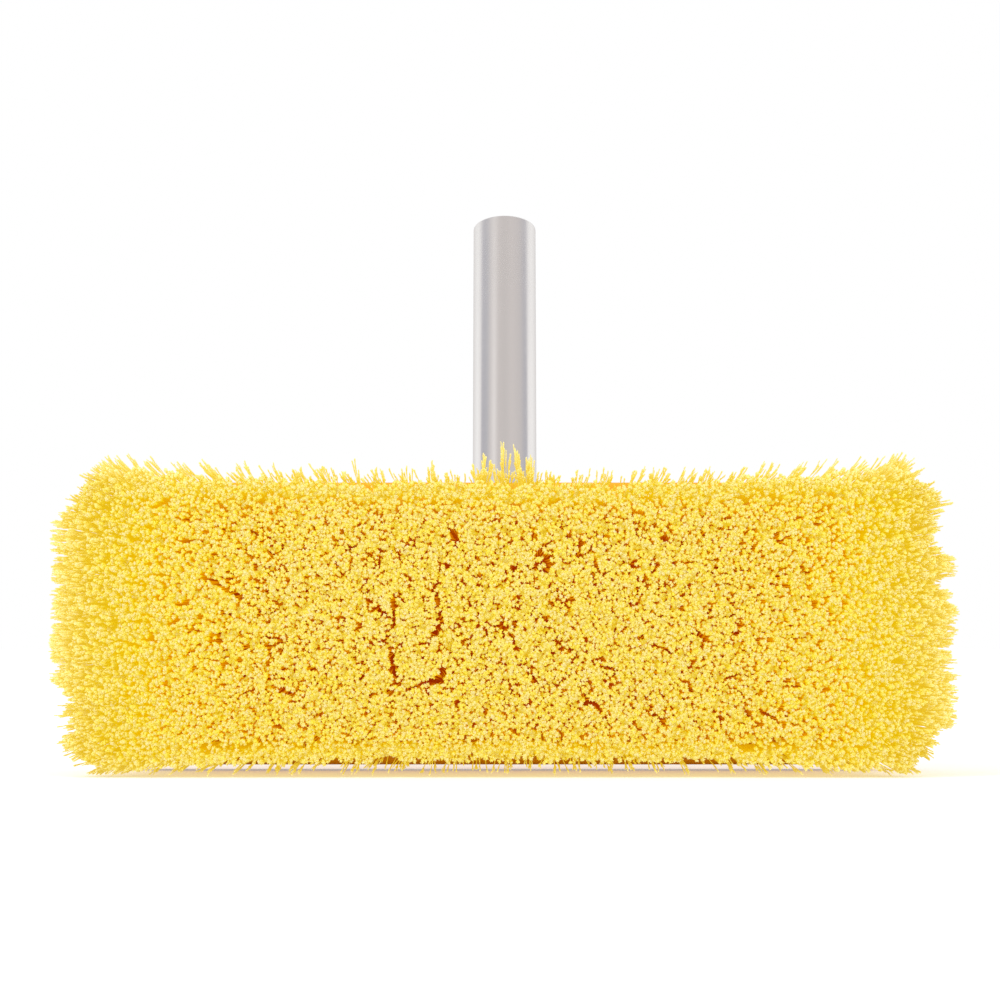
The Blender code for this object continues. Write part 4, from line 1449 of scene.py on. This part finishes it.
@dataclass
class Socket:
    """The angled socket on the block's back: sleeve, web, pad, ribs and screw bosses, blended as one moulding."""

    line: HandleLine
    block: BrushBlock
    depth: float = 46 * MM
    radius: float = 17.7 * MM
    bore_radius: float = 13 * MM
    mouth_round: float = 1.2 * MM
    web_below_mouth: float = 1.5 * MM
    web_share: float = 0.8
    pad_margin: float = 5 * MM
    pad_height: float = 2.5 * MM
    pad_corner: float = 12 * MM
    gusset_thickness: float = 4 * MM
    gusset_reach: float = 27 * MM
    gusset_shares: tuple[float, ...] = (0.2, 0.62)
    boss_radius: float = 6.5 * MM
    boss_proud: float = 2.5 * MM
    boss_edge: float = 0.5 * MM
    screw_radius: float = 2.3 * MM
    sunk: float = 4 * MM
    voxel: float = 0.62 * MM
    easing: int = 6
    kept_faces: float = 0.4
    bore_floor: float = -0.3 * MM
    lead_in: float = 0.6 * MM
    past_mouth: Point2 = (2.6 * MM, 2 * MM)
    drill_past: float = 4 * MM

    def prism(self, name: str, outline: Sequence[Point2], low: float, high: float, matrix: Matrix) -> bpy.types.Object:
        """A straight prism of an outline in X and Y, between two heights, moved to its place."""
        rings = [[Vector((x, y, height)) for x, y in outline] for height in (low, high)]
        return moved(loft(name, rings), matrix)

    def shapes(self) -> list[bpy.types.Object]:
        """The plain shapes that are blended into the moulding.

        Returns:
            The shapes, in their places.
        """
        low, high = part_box("brush_block")
        back = low.y + self.block.thickness
        middle, half_height = (low.z + high.z) / 2, (high.z - low.z) / 2
        foot, lean = self.line.foot(), self.line.lean
        half_web = self.radius * self.web_share
        reach = half_web + self.gusset_reach
        root = back - self.sunk
        profile = [(0, self.depth), (self.radius - self.mouth_round, self.depth)]
        profile += arc((self.radius - self.mouth_round, self.depth - self.mouth_round), self.mouth_round, 90, 0, 4)
        profile += arc((0, 0), self.radius, 0, -90, 12)
        sleeve = moved(lathe("sleeve", profile, 96), self.line.matrix())
        web_length = self.depth - self.web_below_mouth
        corner = (foot.y + web_length * math.sin(lean), foot.z + web_length * math.cos(lean))
        top = corner[1] + (corner[0] - root) * math.tan(lean)
        side = Matrix(((0, 0, 1, 0), (1, 0, 0, 0), (0, 1, 0, 0), (0, 0, 0, 1)))
        web_outline = [(foot.y, foot.z), corner, (root, top), (root, foot.z)]
        web = self.prism("web", web_outline, -half_web, half_web, side)
        facing = Matrix(((1, 0, 0, 0), (0, 0, 1, 0), (0, 1, 0, middle), (0, 0, 0, 1)))
        pad_half = half_height - self.block.back_round - self.pad_margin
        outline = round_corners(reach + self.pad_margin, pad_half, self.pad_corner, 12)
        pad = self.prism("pad", outline, root, back + self.pad_height, facing)
        out, edge = self.radius + self.boss_proud, self.boss_edge
        half_boss = [(0, out), (self.boss_radius - edge, out), (self.boss_radius, out - edge)]
        boss = lathe("boss", half_boss + [(wide, -high) for wide, high in reversed(half_boss)], 64)
        made = [sleeve, web, pad, moved(boss, self.line.at_screws())]
        for share in self.gusset_shares:
            z = foot.z + share * self.depth * math.cos(lean)
            ridge = foot.y + share * self.depth * math.sin(lean)
            rib = [(0, ridge), (reach, back), (reach, root), (-reach, root), (-reach, back)]
            half = self.gusset_thickness / 2
            made.append(self.prism("gusset", rib, -half, half, Matrix.Translation((0, 0, z))))
        return made

    def build(self) -> bpy.types.Object:
        """Blends the shapes with small fillets, then bores the socket and its screw holes.

        Returns:
            The moulding.
        """
        cage = bmesh.new()
        for shape in self.shapes():
            cage.from_mesh(shape.data)
            bpy.data.objects.remove(shape)
        body = new_object("moulded_socket", cage)
        blend = body.modifiers.new("blend", "REMESH")
        blend.mode = "VOXEL"
        blend.voxel_size = self.voxel
        blend.use_smooth_shade = True
        ease = body.modifiers.new("ease", "SMOOTH")
        ease.factor = 0.5
        ease.iterations = self.easing
        thin = body.modifiers.new("thin", "DECIMATE")
        thin.ratio = self.kept_faces
        bake(body)
        wide, high = self.bore_radius + self.past_mouth[0], self.depth + self.past_mouth[1]
        profile = [(0, self.bore_floor), (self.bore_radius, self.bore_floor)]
        profile += [(self.bore_radius, self.depth - self.lead_in), (wide, high), (0, high)]
        half = self.radius + self.boss_proud + self.drill_past
        bore = moved(lathe("bore", profile, 96), self.line.matrix())
        holes = moved(pin("screw_hole", self.screw_radius, -half, half, 48), self.line.at_screws())
        carve(body, [bore, holes])
        return dress(body, POLYPROPYLENE, Shading.MOULDED, "head", ["brush_block"])


@dataclass
class HandleTube:
    """The drawn aluminium tube with its deburred ends, screw holes and button hole."""

    line: HandleLine
    radius: float = 12.7 * MM
    wall: float = 1.5 * MM
    edge: float = 0.4 * MM
    screw_hole_radius: float = 2.3 * MM
    button_hole_radius: float = 4.3 * MM
    drill_past: float = 4 * MM
    steps: int = 160
    round_from: float = 0.995

    def build(self) -> bpy.types.Object:
        """Turns the tube, cuts its holes and gives its round faces true normals.

        Returns:
            The tube.
        """
        length, inside, edge = self.line.tube_length, self.radius - self.wall, self.edge
        outer = [(self.radius - edge, length - edge), (self.radius - edge, edge)]
        inner = [(inside + edge, edge), (inside + edge, length - edge)]
        profile = arc(outer[0], edge, 90, 0, 4) + arc(outer[1], edge, 0, -90, 4)
        profile += arc(inner[0], edge, 270, 180, 4) + arc(inner[1], edge, 180, 90, 4)
        tube = moved(lathe("drawn_tube", profile, self.steps, closed=True), self.line.matrix())
        reach = self.radius + self.drill_past
        screws = moved(pin("screw_hole", self.screw_hole_radius, -reach, reach, 64), self.line.at_screws())
        button = moved(pin("button_hole", self.button_hole_radius, 0, reach, 96), self.line.at_button())
        carve(tube, [screws, button])
        inverse = self.line.matrix().inverted()
        points = [inverse @ vert.co for vert in tube.data.vertices]
        dull = [float(point.xy.length < self.radius - self.wall / 2) for point in points]
        tube.data.attributes.new("inside", "FLOAT", "POINT").data.foreach_set("value", dull)
        dress(tube, ALUMINIUM, Shading.TURNED, "head", ["handle_tube"])
        self.true_normals(tube, points)
        return tube

    def true_normals(self, tube: bpy.types.Object, points: Sequence[Vector]) -> None:
        """Points the normals of the round walls straight away from the axis, so that the holes leave no dents.

        Args:
            tube: the finished tube.
            points: its points, as they are about Z.
        """
        turn = self.line.matrix().to_3x3()
        back = self.line.matrix().inverted().to_3x3()
        mesh = tube.data
        corners = [Vector(corner.vector) for corner in mesh.corner_normals]
        for face in mesh.polygons:
            middle = sum((points[vert] for vert in face.vertices), Vector()) / len(face.vertices)
            outward = Vector((middle.x, middle.y, 0)).normalized()
            way = (back @ face.normal).dot(outward)
            if abs(way) < self.round_from:
                continue
            for loop, vert in zip(face.loop_indices, face.vertices):
                radial = Vector((points[vert].x, points[vert].y, 0)).normalized()
                corners[loop] = turn @ (radial * math.copysign(1, way))
        mesh.normals_split_custom_set([tuple(corner) for corner in corners])


@dataclass
class SnapButton:
    """The domed button that locks the head, with the stem that is riveted through the leaf."""

    line: HandleLine
    radius: float = 4 * MM
    top: float = 18.2 * MM
    shoulder: float = 10.45 * MM
    dome: float = 1.2 * MM
    edge: float = 0.2 * MM
    stem: float = 1.5 * MM
    stem_length: float = 1.2 * MM
    rivet: float = 2.5 * MM
    rivet_rim: float = 0.3 * MM
    rivet_height: float = 0.8 * MM
    rivet_slope: float = 0.5 * MM

    def build(self) -> bpy.types.Object:
        """Turns the button and its rivet head.

        Returns:
            The button.
        """
        profile = [(0, self.top)]
        profile += arc((self.radius - self.dome, self.top - self.dome), self.dome, 90, 0, 10)
        profile += [(self.radius, self.shoulder + self.edge), (self.radius - self.edge, self.shoulder)]
        stem_end = self.shoulder - self.stem_length
        low = stem_end - self.rivet_height
        profile += [(self.stem, self.shoulder), (self.stem, stem_end), (self.rivet, stem_end)]
        profile += [(self.rivet, stem_end - self.rivet_rim), (self.rivet - self.rivet_slope, low), (0, low)]
        button = moved(lathe("domed_button", profile, 96), self.line.at_button())
        return dress(button, STAINLESS, Shading.TURNED, "button", ["snap_button"])


@dataclass
class SnapSpring:
    """The V-shaped leaf spring that carries the button and braces itself on the far wall of the tube."""

    line: HandleLine
    bore: float = 11.2 * MM
    width: float = 8 * MM
    thickness: float = 0.6 * MM
    edge: float = 0.12 * MM
    seat_gap: float = 0.3 * MM
    end_height: float = 166 * MM
    kink_height: float = 150 * MM
    bend_height: float = 118 * MM
    bend_radius: float = 4 * MM
    kink_radius: float = 6 * MM
    hole_radius: float = 1.8 * MM
    press: float = 5.5 * MM

    def path(self) -> list[Point2]:
        """The middle line of the leaf, as distance from the tube's axis and height up the tube.

        Returns:
            The points, from one end to the other.
        """
        reach = math.sqrt(self.bore**2 - (self.width / 2) ** 2) - self.seat_gap - self.thickness / 2
        rise = self.kink_height - self.bend_height
        straight = math.sqrt(reach**2 + rise**2 - self.bend_radius**2)
        slope = math.atan2(reach, rise) - math.atan2(self.bend_radius, straight)
        run = self.kink_radius * math.tan(slope / 2)
        centre = (reach - self.kink_radius, self.kink_height + run)
        turn = math.degrees(slope)
        right = [(reach, self.end_height), *arc(centre, self.kink_radius, 0, -turn, 5)]
        bend = arc((0, self.bend_height), self.bend_radius, -turn, turn - 180, 20)
        left = [(-distance, height) for distance, height in reversed(right)]
        return [*right, *bend, *left]

    def build(self) -> bpy.types.Object:
        """Sweeps the leaf with eased edges and punches the hole for the stem.

        Returns:
            The leaf.
        """
        path = [Vector(point) for point in self.path()]
        half, thick, ease = self.width / 2, self.thickness / 2, self.edge
        section = [(half - ease, -thick), (half, ease - thick), (half, thick - ease), (half - ease, thick)]
        section += [(-across, deep) for across, deep in reversed(section)]
        rings = []
        for index, point in enumerate(path):
            before, after = path[max(index - 1, 0)], path[min(index + 1, len(path) - 1)]
            way = (after - before).normalized()
            rings.append([Vector((across, point.x - way.y * deep, point.y + way.x * deep)) for across, deep in section])
        leaf = moved(loft("snap_spring_leaf", rings), self.line.matrix())
        carve(leaf, [moved(pin("stem_hole", self.hole_radius, 0, self.bore, 48), self.line.at_button())])
        dress(leaf, SPRING_STEEL, Shading.MOULDED, "head", ["snap_spring"])
        anchor = self.line.matrix() @ Vector((0, -self.bore, self.line.button_height))
        inwards = self.line.matrix().to_3x3() @ Vector((0, -1, 0))
        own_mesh(leaf)
        return leaf


@dataclass
class TubeScrew:
    """A pan-head self-tapping screw with a cross recess, from one side of the socket into the tube.

    Each level of the recess holds the share of its outline there, and the height about the head's top.
    """

    line: HandleLine
    side: Side
    seat: float = 20.5 * MM
    head_radius: float = 3.8 * MM
    head_height: float = 2.6 * MM
    shank_radius: float = 2 * MM
    core_radius: float = 1.45 * MM
    tip: float = 7.2 * MM
    tip_length: float = 2.5 * MM
    tip_share: float = 0.12
    pitch: float = 1.4 * MM
    crest_sharpness: float = 3.2
    into_head: float = 0.4 * MM
    crown_share: float = 0.55
    edge: float = 0.15 * MM
    recess_half: Point2 = (0.45 * MM, 2.1 * MM)
    recess_levels: tuple[Point2, ...] = ((0.45, -1.7 * MM), (1.0, -0.2 * MM), (1.05, 0.5 * MM))

    def shank(self) -> bpy.types.Object:
        """The threaded shank: rings whose radius follows the thread round the axis.

        Returns:
            A closed mesh about Z.
        """
        steps, per_turn = 24, 10
        length = self.seat + self.into_head - self.tip
        levels = math.ceil(length / self.pitch * per_turn)
        rings = []
        for level in range(levels + 1):
            up = length * level / levels
            taper = min(1.0, self.tip_share + (1 - self.tip_share) * up / self.tip_length)
            ring = []
            for step in range(steps):
                phase = (up / self.pitch - step / steps) % 1
                crest = max(0.0, 1 - self.crest_sharpness * abs(phase - 0.5))
                radius = (self.core_radius + (self.shank_radius - self.core_radius) * crest) * taper
                angle = 2 * math.pi * step / steps
                ring.append(Vector((radius * math.cos(angle), radius * math.sin(angle), self.tip + up)))
            rings.append(ring)
        return loft("threaded_shank", rings)

    def build(self) -> bpy.types.Object:
        """Turns the head, cuts the cross recess, and adds the threaded shank.

        Returns:
            The screw.
        """
        crown, top = self.head_height * self.crown_share, self.seat + self.head_height
        profile = [(0, top), *arc((self.head_radius - crown, top - crown), crown, 90, 0, 10)]
        profile += [(self.head_radius, self.seat + self.edge), (self.head_radius - self.edge, self.seat)]
        profile.append((0, self.seat))
        side = self.side.name.lower()
        head = lathe(f"pan_head_screw_{side}", profile, 64)
        wide, long = self.recess_half
        outline = [(-wide, -long), (wide, -long), (wide, long), (-wide, long)]
        rings = [
            [Vector((x * share, y * share, top + level)) for x, y in outline] for share, level in self.recess_levels
        ]
        turns = (math.pi / 4, 3 * math.pi / 4)
        carve(head, [moved(loft("recess", rings), Matrix.Rotation(turn, 4, "Z")) for turn in turns])
        carve(head, [self.shank()], Carving.JOINED)
        moved(head, self.line.at_screws(self.side))
        return dress(head, STAINLESS, Shading.TURNED, "head", [f"tube_screw_{side}"])


# What a mirror sees round the brush, by degrees to the right of the camera's side
ROOM_TONES = (
    (-180, "#D6D2D1"),
    (-150, "#EAE7E6"),
    (-125, "#FFFEFD"),
    (-107, "#F6F2F1"),
    (-101, "#BCBAC1"),
    (-78, "#C2C1C6"),
    (-66, "#D8D2D1"),
    (-48, "#F2EDEB"),
    (-30, "#D4CDCB"),
    (0, "#D0CAC8"),
    (34, "#D8D1CF"),
    (70, "#D0CAC9"),
    (88, "#BDBBC1"),
    (98, "#BDBBC1"),
    (104, "#FBF8F7"),
    (128, "#FDFBFA"),
    (152, "#E8E5E4"),
    (180, "#D6D2D1"),
)


@dataclass(frozen=True)
class Lamp:
    """A soft light that stands round the brush and points at it.

    Its azimuth is in degrees to the right of the camera's side, and its elevation in degrees above the floor.
    """

    name: str
    azimuth: float
    elevation: float
    distance: float
    aim: Point3
    width: float
    watts: float

    def hang(self) -> None:
        """Adds the lamp to the scene."""
        side, up = math.radians(self.azimuth), math.radians(self.elevation)
        place = Vector(
            (
                self.distance * math.sin(side) * math.cos(up),
                -self.distance * math.cos(side) * math.cos(up),
                self.distance * math.sin(up),
            )
        )
        data = bpy.data.lights.new(self.name, "AREA")
        data.shape = "DISK"
        data.size = self.width
        data.energy = self.watts
        lamp = bpy.data.objects.new(self.name, data)
        lamp.location = place
        lamp.visible_glossy = False
        lamp.rotation_euler = (place - Vector(self.aim)).to_track_quat("Z", "Y").to_euler()
        bpy.context.scene.collection.objects.link(lamp)


LAMPS = (
    Lamp("key", azimuth=-42, elevation=42, distance=1.9, aim=(0, -0.05, 0.08), width=1.0, watts=10),
    Lamp("fill", azimuth=42, elevation=16, distance=2.0, aim=(0, -0.05, 0.06), width=1.4, watts=7),
)


@dataclass
class Studio:
    """A pale floor, soft lights and a camera that stands where the photograph was taken."""

    distance: float = 1.3
    frame_width: float = 0.3825
    film_width: float = 36
    shift: Point2 = (-0.0046, 0.1235)
    ambient: float = 0.81
    floor_reach: float = 6
    floor_colour: str = "#F4F4F4"
    floor_lift: float = 0.3
    mirrored_lift: float = 0.05

    def camera(self) -> None:
        """Sets the camera level with the block's middle, looking along +Y."""
        low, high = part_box("brush_block")
        data = bpy.data.cameras.new("camera")
        data.sensor_width = self.film_width
        data.lens = self.film_width * self.distance / self.frame_width
        data.shift_x, data.shift_y = self.shift
        data.clip_start, data.clip_end = 0.05, 50
        camera = bpy.data.objects.new("camera", data)
        camera.location = (0, low.y - self.distance, (low.z + high.z) / 2)
        camera.rotation_euler = (math.pi / 2, 0, 0)
        bpy.context.scene.collection.objects.link(camera)
        bpy.context.scene.camera = camera

    def floor(self) -> None:
        """Lays a pale floor that the camera sees as white, with the shadow kept."""
        cage = bmesh.new()
        bmesh.ops.create_grid(cage, x_segments=1, y_segments=1, size=self.floor_reach)
        floor = new_object("floor", cage)
        paint = bpy.data.materials.new("matt_white_paper")
        paint.use_nodes = True
        tree = paint.node_tree
        shader = tree.nodes["Principled BSDF"]
        shader.inputs["Base Color"].default_value = linear(self.floor_colour)
        shader.inputs["Roughness"].default_value = 0.9
        shader.inputs["Specular IOR Level"].default_value = 0.0
        rays = add_node(tree, "ShaderNodeLightPath").outputs
        mirrored = add_node(tree, MATHS, (rays["Is Glossy Ray"], rays["Is Transmission Ray"]), operation="MAXIMUM")
        faint = add_node(tree, MATHS, (mirrored, self.mirrored_lift), operation="MULTIPLY")
        lift = add_node(tree, MATHS, (rays["Is Camera Ray"], self.floor_lift, faint), operation="MULTIPLY_ADD")
        glow = add_node(tree, "ShaderNodeEmission", {"Strength": lift})
        both = add_node(tree, "ShaderNodeAddShader", (shader, glow))
        tree.links.new(both.outputs[0], tree.nodes["Material Output"].inputs["Surface"])
        floor.data.materials.append(paint)

    def sky(self) -> None:
        """Gives the world a soft even light, white behind the brush, and a greyer room where metal mirrors it."""
        world = bpy.data.worlds.new("studio")
        world.use_nodes = True
        bpy.context.scene.world = world
        tree = world.node_tree
        tree.nodes.clear()
        rays = add_node(tree, "ShaderNodeLightPath").outputs
        way = add_node(tree, "ShaderNodeTexCoord").outputs["Generated"]
        right, back, _ = add_node(tree, SPLIT, (way,)).outputs
        front = add_node(tree, MATHS, (back, -1.0), operation="MULTIPLY")
        turn = add_node(tree, MATHS, (right, front), operation="ARCTAN2")
        ramp = add_node(tree, "ShaderNodeValToRGB", (add_node(tree, MAP, (turn, -math.pi, math.pi)),))
        ramp.color_ramp.elements[0].color = linear(ROOM_TONES[0][1])
        ramp.color_ramp.elements[1].color = linear(ROOM_TONES[-1][1])
        for azimuth, tone in ROOM_TONES[1:-1]:
            ramp.color_ramp.elements.new(azimuth / 360 + 0.5).color = linear(tone)
        even = (*(self.ambient,) * 3, 1)
        mirrored = add_node(tree, MIX, {0: rays["Is Glossy Ray"], 6: even, 7: ramp}, data_type="RGBA").outputs[2]
        seen = add_node(tree, MATHS, (rays["Is Camera Ray"], rays["Is Transmission Ray"]), operation="MAXIMUM")
        shown = add_node(tree, MIX, {0: seen, 6: mirrored, 7: (1, 1, 1, 1)}, data_type="RGBA").outputs[2]
        background = add_node(tree, "ShaderNodeBackground", {"Color": shown, "Strength": 1.0})
        add_node(tree, "ShaderNodeOutputWorld", {"Surface": background})

    def build(self) -> None:
        """Sets up the whole studio."""
        self.camera()
        self.floor()
        self.sky()
        for lamp in LAMPS:
            lamp.hang()
        bpy.context.scene.view_settings.view_transform = "Standard"


def main() -> None:
    """Builds the studio and every piece of the brush head, in order."""
    logging.basicConfig(level=logging.INFO, format="%(name)s %(message)s")
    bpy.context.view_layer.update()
    line = HandleLine()
    Studio().build()
    TuftField().build()
    block = BrushBlock()
    block.build()
    Socket(line, block).build()
    HandleTube(line).build()
    SnapButton(line).build()
    SnapSpring(line).build()
    for side in Side:
        TubeScrew(line, side).build()


if __name__ == "__main__":
    main()
